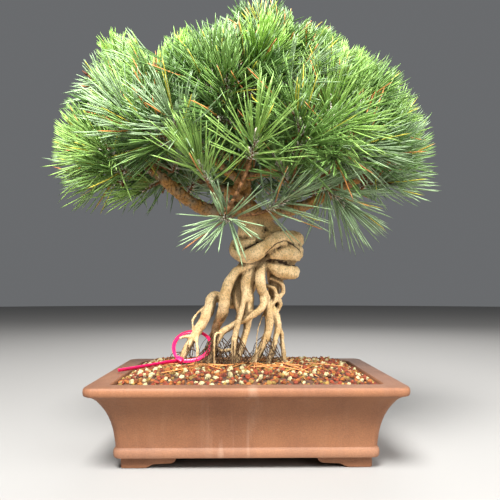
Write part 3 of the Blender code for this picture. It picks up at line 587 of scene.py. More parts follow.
# How far grains stray from an even spacing, their room to the wall, the mix of small and
# large ones, how high they lie on the mound, and their uneven sides and corners.
GRAIN_DRIFT = 0.55
WALL_ROOM = 2.0
GRAIN_MIX = (1.6, 2.6)
GRAIN_HEIGHTS = (-1.6, 1.3)
GRAIN_STRETCH = (0.62, 1.12)
GRAIN_UNEVEN = (0.78, 1.16)

# Damp grains reflect this share of what dry ones do.
GRAIN_DAMP = 0.76

# Fines between the grains: their colour and its darker side.
FINES = ("#5b3a25", "#2e1c12")

# Kinds of grain: colour, its darker side, share of the grains, and how much larger than the rest.
GRAINS = {
    "red_lava": ("#943f20", "#5c2616", 0.31, 1.0),
    "orange_clay": ("#a46024", "#703c16", 0.27, 1.0),
    "ochre_clay": ("#a07f3c", "#6c5022", 0.17, 1.0),
    "brown_lava": ("#6c3f22", "#3c2212", 0.14, 0.95),
    "white_pumice": ("#d2c492", "#9c8c66", 0.11, 1.2),
}


def soil_height(x, y):
    """Height of the gravel's mound at a place, as the solid has it."""
    shares = [(edge - abs(v)) / (edge - level) for v, edge, level in zip((x, y), SOIL_EDGE, SOIL_LEVEL)]
    share = min(max(min(shares), 0.0), 1.0)
    return SOIL_EDGE_HEIGHT + (SOIL_TOP - SOIL_EDGE_HEIGHT) * math.sin(share * math.pi / 2)


def crushed_stone(name, colour, dark):
    """Crushed lava, clay or pumice: porous and dry, so it is matt and pitted."""
    made, shader = new_material(name, 0.92)
    place = add_node(made, "ShaderNodeTexCoord").outputs["Object"]
    tone = add_node(made, "ShaderNodeTexNoise", {"Vector": place, "Scale": 160.0, "Detail": 2.0})
    pits = add_node(made, "ShaderNodeTexNoise", {"Vector": place, "Scale": 1300.0, "Detail": 2.0})
    body = add_node(made, "ShaderNodeValToRGB", {"Fac": tone.outputs["Fac"]},
                    stops=[(0.34, [GRAIN_DAMP * c for c in linear(dark)]),
                           (0.6, [GRAIN_DAMP * c for c in linear(colour)])])
    link(made, body.outputs["Color"], shader.inputs["Base Color"])
    relief = add_node(made, "ShaderNodeBump",
                      {"Height": pits.outputs["Fac"], "Strength": 0.6, "Distance": 0.0006})
    link(made, relief.outputs["Normal"], shader.inputs["Normal"])
    return made


def joined_copies(name, base, faces, matrices, places, jitter):
    """One mesh of many small copies: each has its own turn and size, and its own uneven corners."""
    count = len(places)
    corners = np.repeat(base[None], count, axis=0) * jitter[..., None]
    corners = np.einsum("nij,nkj->nki", matrices, corners) + places[:, None]
    shift = (np.arange(count) * len(base))[:, None, None]
    rings = (faces[None] + shift).reshape(-1, faces.shape[1])
    mesh = bpy.data.meshes.new(name)
    mesh.from_pydata(corners.reshape(-1, 3).tolist(), [], rings.tolist())
    return mesh


def random_turns(chance, count):
    """Even random rotations, from unit quaternions."""
    w, x, y, z = chance.normal(size=(count, 4)).T
    size = np.sqrt(w * w + x * x + y * y + z * z)
    w, x, y, z = w / size, x / size, y / size, z / size
    return np.stack([
        np.stack([1 - 2 * (y * y + z * z), 2 * (x * y - z * w), 2 * (x * z + y * w)], axis=-1),
        np.stack([2 * (x * y + z * w), 1 - 2 * (x * x + z * z), 2 * (y * z - x * w)], axis=-1),
        np.stack([2 * (x * z - y * w), 2 * (y * z + x * w), 1 - 2 * (x * x + y * y)], axis=-1),
    ], axis=-2)


class BONSAI_OT_gravel(bpy.types.Operator):
    """Beds the gravel: dark fines under a layer of crushed grains of five kinds"""

    bl_idname = "bonsai.gravel"
    bl_label = "Gravel"

    def execute(self, context):
        settings = context.scene.bonsai_soil
        bed = crushed_stone("damp_fines", *FINES)
        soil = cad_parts["soil"]
        soil.data.materials.clear()
        soil.data.materials.append(bed)
        chance = np.random.default_rng(SEED)
        bm = bmesh.new()
        bmesh.ops.create_icosphere(bm, subdivisions=1, radius=0.5)
        base = np.array([vert.co[:] for vert in bm.verts])
        faces = np.array([[vert.index for vert in face.verts] for face in bm.faces])
        bm.free()
        step = settings.spacing / MM
        across, along = (np.arange(-edge + 1.0, edge, step) for edge in SOIL_EDGE)
        places = np.array([(x, y) for x in across for y in along])
        places += chance.uniform(-GRAIN_DRIFT * step, GRAIN_DRIFT * step, places.shape)
        places = places[np.all(np.abs(places) < np.array(SOIL_EDGE) - WALL_ROOM, axis=1)]
        grown = chance.beta(*GRAIN_MIX, len(places))
        sizes = settings.smallest + (settings.largest - settings.smallest) * grown
        shares = np.array([share for _, _, share, _ in GRAINS.values()])
        kinds = chance.choice(len(GRAINS), size=len(places), p=shares / shares.sum())
        heights = np.array([soil_height(x, y) for x, y in places])
        heights += chance.uniform(*GRAIN_HEIGHTS, len(places))
        for i, (name, (colour, dark, _, larger)) in enumerate(GRAINS.items()):
            mine = kinds == i
            count = mine.sum()
            turns = random_turns(chance, count)
            stretch = chance.uniform(*GRAIN_STRETCH, (count, 3)) * (sizes[mine] * larger)[:, None]
            centres = np.column_stack([places[mine], heights[mine]]) * MM
            mesh = joined_copies(name, base, faces, turns * stretch[:, None, :], centres,
                                 chance.uniform(*GRAIN_UNEVEN, (count, len(base))))
            add_piece("grains_" + name, mesh, crushed_stone(name, colour, dark), "gravel")
        return {"FINISHED"}


# Bark

ROOT_SIDES = 10
ROOT_STEPS = 6
LEADER_STEPS = 4
RING_WOBBLE = 0.05

# In metres: the height where the bark turns flaky, how much height its relief and its colour
# take for that, and the heights over which the roots are drawn darker towards the gravel.
FLAKY_FROM = 0.284
FLAKY_OVER = 0.02
FLAKY_BLEND = 0.012
DARKER_BELOW = (0.101, 0.135)
KNOT_LOW = 0.214

# Relief: sizes of its lumps, wrinkles and plates in millimetres, and the share of the height
# that each counts, which draws it out along the limbs.
LUMP_SIZE = 9.0
LUMP_RISE = 0.7
WRINKLE_SIZE = 2.6
WRINKLE_RISE = 0.33
PLATE_SIZE = 6.5
PLATE_RISE = 0.6
PLATE_EDGE = 0.35

# Root hairs: which roots bear them, between which heights, and their size in millimetres.
HAIRY_ROOTS = ("left", "arch", "cross", "centre", "front", "right", "outer", "hind", "short", "curl", "back")
HAIR_COUNT = 260
HAIRS_FROM = (100.0, 140.0)
HAIR_SPREAD = (4.0, 26.0)
HAIR_CURL = 6.0
HAIR_RADIUS = (0.3, 0.75)
HAIR_FOOT = 0.8
HAIR_END = 1.0
HAIR_CLEAR = 2.0
HAIR_TAPER = (1.0, 0.8, 0.5)
HAIR_STEPS = 4
HAIR_OVERLAP = 0.2

# Wood that has grown together between the knot's coils.
KNOT_FILLS = [
    [(24, -18, 246, 6.5), (40, -17, 254, 8.0), (57, -8, 256, 8.0)],
    [(27, -10, 237, 6.0), (44, -14, 235, 7.0), (61, -5, 235, 7.5)],
    [(-10, 6, 258, 9.0), (-1, -12, 254, 8.0), (14, -16, 257, 8.0)],
]

# Creases between the knot's coils, on its front, as (x, z) in millimetres.
KNOT_CREASES = [
    [(-18, 256), (-15, 249), (-11, 246), (-5, 246), (2, 250), (10, 254), (21, 260)],
    [(25, 241), (31, 247), (39, 254), (47, 257), (52, 257), (60, 254), (67, 250), (71, 245)],
    [(27, 234), (39, 233), (52, 229), (67, 228)],
]
CREASE_WIDTH = 2.0
CREASE_DEPTH = 1.5
# Width of the dark line of painted shade along each crease, in millimetres.
CREASE_SHADE_WIDTH = 1.1
CREASE_FRONT = 0.25

# Painted shade where bark faces other bark, as between the roots: how far out to look, in metres.
SHELTER_CELL = 0.004
SHELTER_LOOKS = (0.005, 0.008, 0.012)
SHELTER_FULL = 22.0
SHELTER_SHADE = 0.26


def sweep(bm, line, sides, chance):
    """A closed limb: a disc pushed on along a curve, turned and resized at each point."""
    (start, radius), (after, _) = line[0], line[1]
    way = (after - start).normalized()
    place = Matrix.Translation(start * MM) @ way.to_track_quat("Z", "Y").to_matrix().to_4x4()
    disc = bmesh.ops.create_circle(bm, cap_ends=True, segments=sides, radius=radius * MM, matrix=place)
    end = disc["verts"][0].link_faces[0]
    for i in range(1, len(line)):
        point, thick = line[i]
        thick *= 1.0 + chance.uniform(-RING_WOBBLE, RING_WOBBLE)
        ahead = (line[min(i + 1, len(line) - 1)][0] - line[i - 1][0]).normalized()
        end = pushed_face(bm, end)
        turn = way.rotation_difference(ahead).to_matrix().to_4x4()
        move = Matrix.Translation(point * MM) @ turn @ Matrix.Scale(thick / radius, 4)
        bmesh.ops.transform(bm, verts=end.verts[:], matrix=move @ Matrix.Translation(-start * MM))
        start, radius, way = point, thick, ahead


def skinned(name, lines, sides, grid):
    """Limbs grown together under one even skin."""
    chance = random.Random(SEED)
    bm = bmesh.new()
    for line in lines:
        sweep(bm, line, sides, chance)
    limb = loose_object(name, mesh_of(bm, name))
    skin = limb.modifiers.new("skin", "REMESH")
    skin.mode = "VOXEL"
    skin.voxel_size = grid
    mesh = evaluated_mesh(limb)
    bpy.data.objects.remove(limb)
    return mesh


def neighbour_mean(points, edges, count):
    """Each point's mean neighbour."""
    total = np.empty_like(points)
    for axis in range(3):
        total[:, axis] = (np.bincount(edges[:, 0], points[edges[:, 1], axis], count)
                          + np.bincount(edges[:, 1], points[edges[:, 0], axis], count))
    links = np.bincount(edges.ravel(), minlength=count)
    return total / links[:, None]


def shelter(points, normals):
    """How closely other bark faces each place, from 0 to 1."""
    low = points.min(axis=0) - 2 * max(SHELTER_LOOKS)
    shape = np.ceil((points.max(axis=0) + 2 * max(SHELTER_LOOKS) - low) / SHELTER_CELL).astype(int) + 2
    filled = np.zeros(shape)
    np.add.at(filled, tuple(((points - low) / SHELTER_CELL).astype(int).T), 1.0)
    for axis in range(3):
        filled = filled + 0.5 * (np.roll(filled, 1, axis) + np.roll(filled, -1, axis))
    near = np.zeros(len(points))
    for look in SHELTER_LOOKS:
        near += filled[tuple(((points + normals * look - low) / SHELTER_CELL).astype(int).T)]
    return np.clip(near / (SHELTER_FULL * len(SHELTER_LOOKS)) - 0.5, 0.0, 1.0)


def weathered(mesh, depth_at, rounds, hollow_rounds, hollow_depth):
    """Smooths a skin, presses the bark's relief into it and notes where to paint shade: in its hollows, along
    the knot's crease lines and where other bark faces it.
    """
    count = len(mesh.vertices)
    points = np.empty(count * 3, np.float32)
    mesh.vertices.foreach_get("co", points)
    points = points.reshape(-1, 3).astype(float)
    edges = np.empty(len(mesh.edges) * 2, np.int32)
    mesh.edges.foreach_get("vertices", edges)
    edges = edges.reshape(-1, 2)
    for _ in range(rounds):
        points += 0.5 * (neighbour_mean(points, edges, count) - points)
    mesh.vertices.foreach_set("co", points.astype(np.float32).ravel())
    mesh.update()
    normals = np.empty(count * 3, np.float32)
    mesh.vertices.foreach_get("normal", normals)
    normals = normals.reshape(-1, 3)
    depths = np.array([depth_at(Vector(point), Vector(normal)) for point, normal in zip(points, normals)])
    shaped = points + normals * depths[:, None]
    level = shaped.copy()
    for _ in range(hollow_rounds):
        level += 0.5 * (neighbour_mean(level, edges, count) - level)
    shade_mask = np.einsum("ij,ij->i", level - shaped, normals) / hollow_depth
    mesh.vertices.foreach_set("co", shaped.astype(np.float32).ravel())
    # Painted shade: a dark line along each crease on the knot's front.
    creases = [crease_share(Vector(point), Vector(normal), CREASE_SHADE_WIDTH)
               for point, normal in zip(points, normals)]
    shade_mask = np.maximum(0.5 + 0.5 * shade_mask, creases)
    # Painted shade where other bark is near.
    shade_mask = np.maximum(shade_mask, 0.5 + SHELTER_SHADE * shelter(points, normals))
    attribute = mesh.attributes.new("shade_mask", "FLOAT", "POINT")
    attribute.data.foreach_set("value", np.clip(shade_mask, 0, 1).astype(np.float32))
    mesh.shade_smooth()
    mesh.update()


def crease_distance(x, z):
    """Distance in millimetres from a place on the knot's front to its nearest crease."""
    nearest = 99.0
    for crease in KNOT_CREASES:
        for (ax, az), (bx, bz) in zip(crease, crease[1:]):
            dx, dz = bx - ax, bz - az
            t = min(max(((x - ax) * dx + (z - az) * dz) / (dx * dx + dz * dz), 0.0), 1.0)
            nearest = min(nearest, math.hypot(x - ax - dx * t, z - az - dz * t))
    return nearest


def crease_share(point, normal, width):
    """How near a place on the knot's front is to a crease's line, from 0 to 1."""
    if normal.y > CREASE_FRONT or not KNOT_LOW < point.z < FLAKY_FROM:
        return 0.0
    near = crease_distance(point.x / MM, point.z / MM) / width
    return math.exp(-near * near)


def bark_depth(relief):
    """How far the bark stands out or in at a place: long wrinkles below, flaky plates above."""

    def depth_at(point, normal):
        x, y, z = point / MM
        lumps = noise.fractal(Vector((x, y, z * LUMP_RISE)) / LUMP_SIZE, 1.0, 2.0, 3)
        wrinkles = noise.fractal(Vector((x, y, z * WRINKLE_RISE)) / WRINKLE_SIZE, 0.9, 2.2, 3)
        near = noise.voronoi(Vector((x, y, z * PLATE_RISE)) / PLATE_SIZE)[0]
        plates = min(near[1] - near[0], PLATE_EDGE) / PLATE_EDGE - 0.5
        flaky = min(max((point.z - FLAKY_FROM) / FLAKY_OVER, 0.0), 1.0)
        smooth_bark = 0.9 * lumps + 0.6 * wrinkles
        rough_bark = 1.1 * lumps + 0.8 * wrinkles + 1.7 * plates
        depth = relief * (smooth_bark * (1 - flaky) + rough_bark * flaky)
        return depth - CREASE_DEPTH * MM * crease_share(point, normal, CREASE_WIDTH)

    return depth_at


def pine_bark(settings):
    """Pine bark: smooth tan cork on the roots and knot, flaking orange and grey plates above."""
    made, shader = new_material("pine_bark", 0.86)
    place = add_node(made, "ShaderNodeTexCoord").outputs["Object"]
    shade_mask = add_node(made, "ShaderNodeAttribute", attribute_name="shade_mask", attribute_type="GEOMETRY")
    patches = add_node(made, "ShaderNodeTexNoise",
                       {"Vector": place, "Scale": 55.0, "Detail": 5.0, "Roughness": 0.65})
    stretched = add_node(made, "ShaderNodeMapping", {"Vector": place, "Scale": (560.0, 560.0, 420.0)})
    grain = add_node(made, "ShaderNodeTexNoise",
                     {"Vector": stretched.outputs["Vector"], "Scale": 1.0, "Detail": 5.0, "Roughness": 0.7})
    cork = add_node(made, "ShaderNodeValToRGB", {"Fac": patches.outputs["Fac"]},
                    stops=[(0.32, settings.tan), (0.66, settings.pale)])
    flakes = add_node(made, "ShaderNodeValToRGB", {"Fac": patches.outputs["Fac"]},
                      stops=[(0.36, settings.grey), (0.56, settings.orange)])
    height = add_node(made, "ShaderNodeSeparateXYZ", {"Vector": place})
    upper = add_node(made, "ShaderNodeMapRange", {
        "Value": height.outputs["Z"], "From Min": FLAKY_FROM - FLAKY_BLEND,
        "From Max": FLAKY_FROM + FLAKY_BLEND})
    body = add_node(made, "ShaderNodeMix", {
        "Factor": upper.outputs["Result"], "A": cork.outputs["Color"], "B": flakes.outputs["Color"]},
        data_type="RGBA")
    fibres = add_node(made, "ShaderNodeMapRange", {
        "Value": grain.outputs["Fac"], "From Min": 0.29, "From Max": 0.52, "To Min": 0.34, "To Max": 1.14})
    # Darker towards the gravel, down to 0.55 at the lowest.
    darker_below = add_node(made, "ShaderNodeMapRange", {
        "Value": height.outputs["Z"], "From Min": DARKER_BELOW[0], "From Max": DARKER_BELOW[1], "To Min": 0.55,
        "To Max": 1.0})
    shade = add_node(made, "ShaderNodeMath",
                     {0: fibres.outputs["Result"], 1: darker_below.outputs["Result"]}, operation="MULTIPLY")
    lined = add_node(made, "ShaderNodeVectorMath",
                     {0: body.outputs["Result"], "Scale": shade.outputs[0]}, operation="SCALE")
    # Painted shade: the bark turns towards the dark shade colour in its hollows, along crease lines and close
    # to other bark.
    shade_share = add_node(made, "ShaderNodeMapRange", {
        "Value": shade_mask.outputs["Fac"], "From Min": 0.55, "From Max": 0.88})
    final = add_node(made, "ShaderNodeMix", {
        "Factor": shade_share.outputs["Result"], "A": lined.outputs[0], "B": (*settings.crevice_shade, 1.0)},
        data_type="RGBA")
    link(made, final.outputs["Result"], shader.inputs["Base Color"])
    relief = add_node(made, "ShaderNodeBump",
                      {"Height": grain.outputs["Fac"], "Strength": 0.5, "Distance": 0.0007})
    link(made, relief.outputs["Normal"], shader.inputs["Normal"])
    return made


def leader_at(height):
    """The middle of the trunk at a height above the knot."""
    line = [point for point, _ in through_bends(KNOT["core"][2:] + LEADER[1:], LEADER_STEPS)]
    for lower, upper in zip(line, line[1:]):
        if lower.z <= height <= upper.z:
            return lower.lerp(upper, (height - lower.z) / (upper.z - lower.z))
    return line[-1]


def bough_curve(name, steps):
    """One tapering limb from the trunk's middle over its elbow to its tip."""
    height, elbow, tip, thick, thin = BOUGHS[name]
    start, elbow, tip = leader_at(height), Vector(elbow), Vector(tip)
    return through_bends([(*start, thick), (*elbow, (thick + thin) / 2), (*tip, thin)], steps)


class BONSAI_OT_trunk(bpy.types.Operator):
    """Grows the bark of the exposed roots, the coiled knot and the leader as one skin"""

    bl_idname = "bonsai.trunk"
    bl_label = "Roots and trunk"

    def execute(self, context):
        settings = context.scene.bonsai_bark
        lines = [through_bends(route, ROOT_STEPS) for route in KNOT.values()]
        lines.append(through_bends(LEADER, ROOT_STEPS))
        lines += [through_bends(route, ROOT_STEPS) for route in [*ROOTS.values(), *KNOT_FILLS]]
        mesh = skinned("root_bark", lines, ROOT_SIDES, settings.grid)
        weathered(mesh, bark_depth(settings.relief), rounds=3, hollow_rounds=26, hollow_depth=0.0014)
        add_piece("trunk_bark", mesh, pine_bark(settings), "bark", "trunk")
        return {"FINISHED"}


class BONSAI_OT_hairs(bpy.types.Operator):
    """Hangs fine dark root hairs from the roots into the gravel"""

    bl_idname = "bonsai.hairs"
    bl_label = "Root hairs"

    def execute(self, context):
        settings = context.scene.bonsai_bark
        chance = random.Random(SEED + 2)
        roots = [through_bends(ROOTS[name], ROOT_STEPS) for name in HAIRY_ROOTS]
        curves = []
        for _ in range(HAIR_COUNT):
            low = [bend for bend in chance.choice(roots) if HAIRS_FROM[0] < bend[0].z < HAIRS_FROM[1]]
            root, radius = chance.choice(low)
            turn = chance.uniform(0.0, 2.0 * math.pi)
            out = Vector((math.cos(turn), math.sin(turn), 0.0))
            start = root + out * radius * HAIR_FOOT
            end = start + out * chance.uniform(*HAIR_SPREAD)
            end.z = soil_height(end.x, end.y) + HAIR_END
            bend = start.lerp(end, 0.5) + Vector([chance.uniform(-HAIR_CURL, HAIR_CURL) for _ in range(3)])
            bend.z = max(bend.z, end.z + HAIR_CLEAR)
            size = chance.uniform(*HAIR_RADIUS)
            route = [(*place, taper * size) for place, taper in zip((start, bend, end), HAIR_TAPER)]
            curves.append(through_bends(route, HAIR_STEPS))
        mesh = pegs_along("root_hairs", curves, HAIR_OVERLAP, sides=4)
        add_piece("root_hairs", mesh, twig_bark("root_hair", settings.hair), "bark")
        return {"FINISHED"}


class BONSAI_OT_boughs(bpy.types.Operator):
    """Grows the flaky bark of the boughs as one skin"""

    bl_idname = "bonsai.boughs"
    bl_label = "Boughs"

    def execute(self, context):
        settings = context.scene.bonsai_bark
        lines = [bough_curve(name, ROOT_STEPS) for name in BOUGHS]
        mesh = skinned("bough_bark", lines, ROOT_SIDES, settings.grid)
        weathered(mesh, bark_depth(settings.relief), rounds=2, hollow_rounds=8, hollow_depth=0.0009)
        material = bpy.data.materials.get("pine_bark") or pine_bark(settings)
        add_piece("bough_bark", mesh, material, "young_bark", *BOUGH_NODES)
        return {"FINISHED"}


# Crown

# Needles: degrees that they lean from their shoot, first to last, in pairs on a spiral.
NEEDLE_TILT = (78.0, 10.0)
TILT_CURVE = 0.8
PAIR_DRIFT = 0.25
NEEDLE_ROOT = 0.6
NEEDLE_WOBBLE = 15.0
NEEDLE_WAVER = 0.035
NEEDLE_ZONE = (0.1, 0.98)
PAIR_SPREAD = 4.0
NEEDLE_BEND = 0.11
BEND_SHARES = (-0.3, 1.0)
NEEDLE_TRIANGLES = 16
NEEDLE_RINGS = (0.0, 0.45, 0.86)
RING_SIZES = (0.85, 1.0, 0.8)

# Shortening at the outline: how far each spray reaches and how much its needles differ, how
# often and by how much they are cut, and the least that is kept. Then the places along a
# needle that are looked at over an open place.
OUTLINE_RAGGED = (0.84, 1.07)
RAGGED_TIPS = 0.11
SKY_TIPS = 0.5 * RAGGED_TIPS
CUTS = 9
CUT_SHARE = 0.93
SHORTEST_KEPT = 0.55
NEEDLE_LOOKS = (0.35, 0.7, 1.0)

# Candles, the new shoots: from which height, on which share of the shoots, their shape, and
# how high a plain one and a marked one may appear in the crown.
CANDLE_FROM = 440.0
CANDLE_SHARE = 0.6
CANDLE_TILT = (46.0, 6.0)
CANDLE_LENGTH = (40.0, 54.0)
CANDLE_RISE = 0.5
CANDLE_BARE = 0.4
CANDLE_END = 9.0
CANDLE_ROOM = 0.97
MARKED_ROOM = 1.12
STALK_PAST = 2.0
STALK_RADII = (2.6, 2.1)
SHEATH_LENGTH = 6.5
SHEATH_RADII = (1.15, 0.95)
BUD_LENGTH = 9.0
BUD_RADII = (2.1, 0.7)

# Old needles that have fallen on the gravel.
FALLEN = 46
FALLEN_SIZE = 0.8
FALLEN_REACH = (90.0, 46.0)
FALLEN_ABOVE = 3.4

# Greens dealt out by spray, with their shares, and the stray needles among them.
GREENS = {
    "deep_green": ("#4f6e35", 0.34),
    "leaf_green": ("#74974d", 0.34),
    "fresh_green": ("#8eb05a", 0.18),
    "grey_green": ("#92ab80", 0.17),
}
GREEN_SHARES = np.array([share for _, share in GREENS.values()])

# How much likelier each green is at the crown's sides than in its middle, in the same order: painted light
# and shade, darker greens in the middle and paler ones at the sides.
SIDE_LIGHT_MIDDLE_SHADE = np.array([-0.9, 0.0, 1.4, 1.2])
STRAYS = {"yellow": ("#c9bd46", 0.018), "straw": ("#cf8a4c", 0.022)}
CANDLE_GREEN = "#83ad45"


def shoot_tips():
    """Where the main shoots end: the marked ones, then a seeded spiral over the crown's shell."""
    chance = random.Random(SEED)
    tips = [Vector(tip) for tip in MARKED_SHOOTS]
    spread_tips(tips, chance, [(OUTER_SHOOTS, 1.0), (INNER_SHOOTS, INNER_SHARE)], SHOOT_SPACING)
    return tips


def spread_tips(tips, chance, layers, spacing):
    """Adds tips on spirals over shells of the crown, each clear of the ones before it."""
    middle = Vector((0, 0, CROWN_BASE))
    for count, share in layers:
        for i in range(count):
            low = math.cos(math.radians(LOWEST_TILT))
            rise = 1.0 - (1.0 - low) * (i + 0.5) / count
            turn = i * GOLDEN_ANGLE
            flat = math.sqrt(1.0 - rise * rise)
            way = Vector((flat * math.cos(turn), flat * math.sin(turn), rise))
            size = sum(abs(c) ** BOXINESS for c in way) ** (-1.0 / BOXINESS)
            out = way * size * share
            out.x, out.y = out.x * (REACH_X - SHOOT_INSET), out.y * (REACH_Y - SHOOT_INSET)
            out.z *= crown_top(out.x) - CROWN_BASE - SHOOT_INSET
            tip = middle + out
            tip += Vector([chance.uniform(-SHOOT_SPREAD, SHOOT_SPREAD) for _ in range(3)])
            if min((tip - other).length for other in tips) > spacing:
                tips.append(tip)


def crown_top(x):
    """Height of the crown's outline over a place on its width."""
    return float(np.interp(x, *zip(*CROWN_TOPS)))


def seen_at(points):
    """Where points appear on the plane through the trunk, from the camera's place."""
    eye = np.array(CAMERA_PLACE)
    nearer = -eye[1] / (points[:, 1] - eye[1])
    return eye[0] + (points[:, 0] - eye[0]) * nearer, eye[2] + (points[:, 2] - eye[2]) * nearer


def sky_share(points):
    """How high points appear in the crown: over one is before the sky."""
    seen_x, seen_z = seen_at(points)
    return (seen_z - CROWN_BASE) / (np.interp(seen_x, *zip(*SKY_LINE)) - CROWN_BASE)


def left_out(chance, feet, aims, size):
    """Which needles are missing: those over an open place and those that hang too low."""
    missing = np.zeros(len(feet), bool)
    for share in NEEDLE_LOOKS:
        points = feet + aims * (size * share)[:, None]
        seen_x, seen_z = seen_at(points)
        for x, z, radius, depth, lost in OPEN_PLACES:
            near = np.hypot(seen_x - x, seen_z - z) < radius
            missing |= near & (points[:, 1] < depth) & (chance.uniform(size=len(feet)) < lost)
    limit = UNDERSIDE - UNDERSIDE_RAGGED * chance.uniform(-1.0, 1.0, len(feet))
    return missing, points[:, 2] < limit


def hangs_low(tip):
    """Whether a shoot belongs to one of the sprays that hang below the crown."""
    return any(math.hypot(tip.x - x, tip.z - z) < reach for x, z, reach in LOW_SPRAYS)


def grow():
    """The crown's twigs, as curves, and its shoots, as (foot, tip, whether it bears a candle)."""
    chance = random.Random(SEED + 1)
    stems, twigs, shoots, parents = {}, [], [], []
    for name in [*BOUGHS, "top"]:
        curve = through_bends(LEADER, TWIG_STEPS) if name == "top" else bough_curve(name, TWIG_STEPS)
        (before, _), (tip, radius) = curve[-2], curve[-1]
        way = (tip - before).normalized()
        stems[name] = (tip, way)
        twigs.append([(tip - way * STEM_SUNK, radius), (tip + way * STEM_LENGTH, TWIG_RADII[0])])

    def nearest_stem(tip):
        return min(stems.values(), key=lambda stem: (stem[0] + stem[1] * CELL_REACH - tip).length)

    def stands_clear(tip):
        return sky_share(np.array([tip]))[0] > CLEAR_SHARE

    tips = shoot_tips()
    for i, tip in enumerate(tips):
        if stands_clear(tip):
            continue
        start, way = nearest_stem(tip)
        fork = start + way * STEM_LENGTH
        root = start + way * STEM_LENGTH * chance.uniform(*STEM_FORKS)
        shoot = add_shoot(twigs, root, fork, tip, SHOOT_LENGTH, TWIG_RADII[0])
        shoots.append((*shoot, i < CANDLE_SHOOTS))
        parents.append(shoot)
    main_count = len(tips)
    spread_tips(tips, chance, FINE_LAYERS, FINE_SPACING)
    for tip in tips[main_count:]:
        if stands_clear(tip):
            continue
        foot, end = min(parents, key=lambda parent: (parent[0] - tip).length)
        root = foot.lerp(end, chance.uniform(*FINE_FORKS))
        length = chance.uniform(*FINE_LENGTH)
        wander = Vector([chance.uniform(-FINE_WANDER, FINE_WANDER) for _ in range(3)])
        shoots.append((*add_shoot(twigs, root, root, tip, length, TWIG_RADII[1], wander), False))
    return twigs, shoots


def add_shoot(twigs, root, fork, tip, length, radius, wander=Vector()):
    """Bends a twig from its root to a shoot that leans outwards and to the light."""
    outward = (tip - Vector((0, 0, OUTWARD_FROM))).normalized() * OUTWARD_PULL
    axis = ((tip - fork).normalized() + outward + wander + Vector((0, 0, UPWARD_PULL))).normalized()
    foot = tip - axis * length
    middle = root.lerp(foot, 0.5) - Vector((0, 0, 1)) * (foot - root).length * TWIG_SAG
    middle_radius, foot_radius = (share * radius for share in TWIG_TAPER)
    twigs.append([(root, radius), (middle, middle_radius), (foot, foot_radius), (tip, SHOOT_RADIUS)])
    return foot, tip


def unit(vectors):
    """Rows scaled to length one."""
    return vectors / np.linalg.norm(vectors, axis=-1, keepdims=True)


def side_axes(aims):
    """Two directions square to each aim and to each other."""
    helper = np.where(np.abs(aims[:, 2:3]) < 0.9, np.array([[0.0, 0.0, 1.0]]), np.array([[1.0, 0.0, 0.0]]))
    first = unit(np.cross(aims, helper))
    return first, np.cross(aims, first)


def crown_share(points):
    """How far out points lie: over one is outside the crown, in plan or past its top line."""
    across, back = np.abs(points[:, 0]) / REACH_X, np.abs(points[:, 1]) / REACH_Y
    height = np.interp(points[:, 0], *zip(*CROWN_TOPS)) - CROWN_BASE
    up = np.maximum(points[:, 2] - CROWN_BASE, 0.0) / height
    return np.maximum(across ** BOXINESS, up ** BOXINESS) + back ** BOXINESS


def needles_on(chance, foot, tip, count, tilt, lengths):
    """Feet, aims, lengths and bends of one shoot's needles, in pairs round the shoot."""
    along = np.array(tip - foot)
    axis = unit(along)
    pair = np.arange(count) // 2
    share = (pair + 0.5) / (count / 2)
    first, second = side_axes(axis[None])
    turn = pair * GOLDEN_ANGLE + chance.uniform(-PAIR_DRIFT, PAIR_DRIFT, count // 2)[pair]
    out = np.cos(turn)[:, None] * first + np.sin(turn)[:, None] * second
    lean = tilt[0] + (tilt[1] - tilt[0]) * share ** TILT_CURVE
    lean = lean + chance.uniform(-NEEDLE_WOBBLE, NEEDLE_WOBBLE, count // 2)[pair]
    lean = np.radians(lean + chance.uniform(-PAIR_SPREAD, PAIR_SPREAD, count))
    aims = axis * np.cos(lean)[:, None] + out * np.sin(lean)[:, None]
    apart = np.cross(axis[None], out) * np.radians(chance.uniform(-PAIR_SPREAD, PAIR_SPREAD, count))[:, None]
    aims = unit(aims + apart)
    place = NEEDLE_ZONE[0] + (NEEDLE_ZONE[1] - NEEDLE_ZONE[0]) * share
    feet = np.array(foot) + along * place[:, None] + out * SHOOT_RADIUS * NEEDLE_ROOT
    size = chance.uniform(*lengths, count)
    bends = unit(axis - aims * (aims @ axis)[:, None] + 1e-9) * NEEDLE_BEND
    bends = bends * chance.uniform(*BEND_SHARES, count)[:, None]
    bends = bends + chance.normal(0.0, NEEDLE_WAVER, (count, 3))
    return feet, aims, size, bends


def clipped(chance, feet, aims, size, bends):
    """Shortens the needles that would pass the crown's outline, each spray at its own limit."""
    limit = chance.uniform(*OUTLINE_RAGGED) + chance.uniform(-RAGGED_TIPS, RAGGED_TIPS, len(feet))
    sky_limit = chance.uniform(*SKY_RAGGED) + chance.uniform(-SKY_TIPS, SKY_TIPS, len(feet))
    sky_limit[chance.uniform(size=len(feet)) < STRAGGLERS] += STRAGGLER_REACH
    for _ in range(CUTS):
        ends = feet + (aims + bends) * size[:, None]
        size = np.where((crown_share(ends) > limit) | (sky_share(ends) > sky_limit), size * CUT_SHARE, size)
    return size


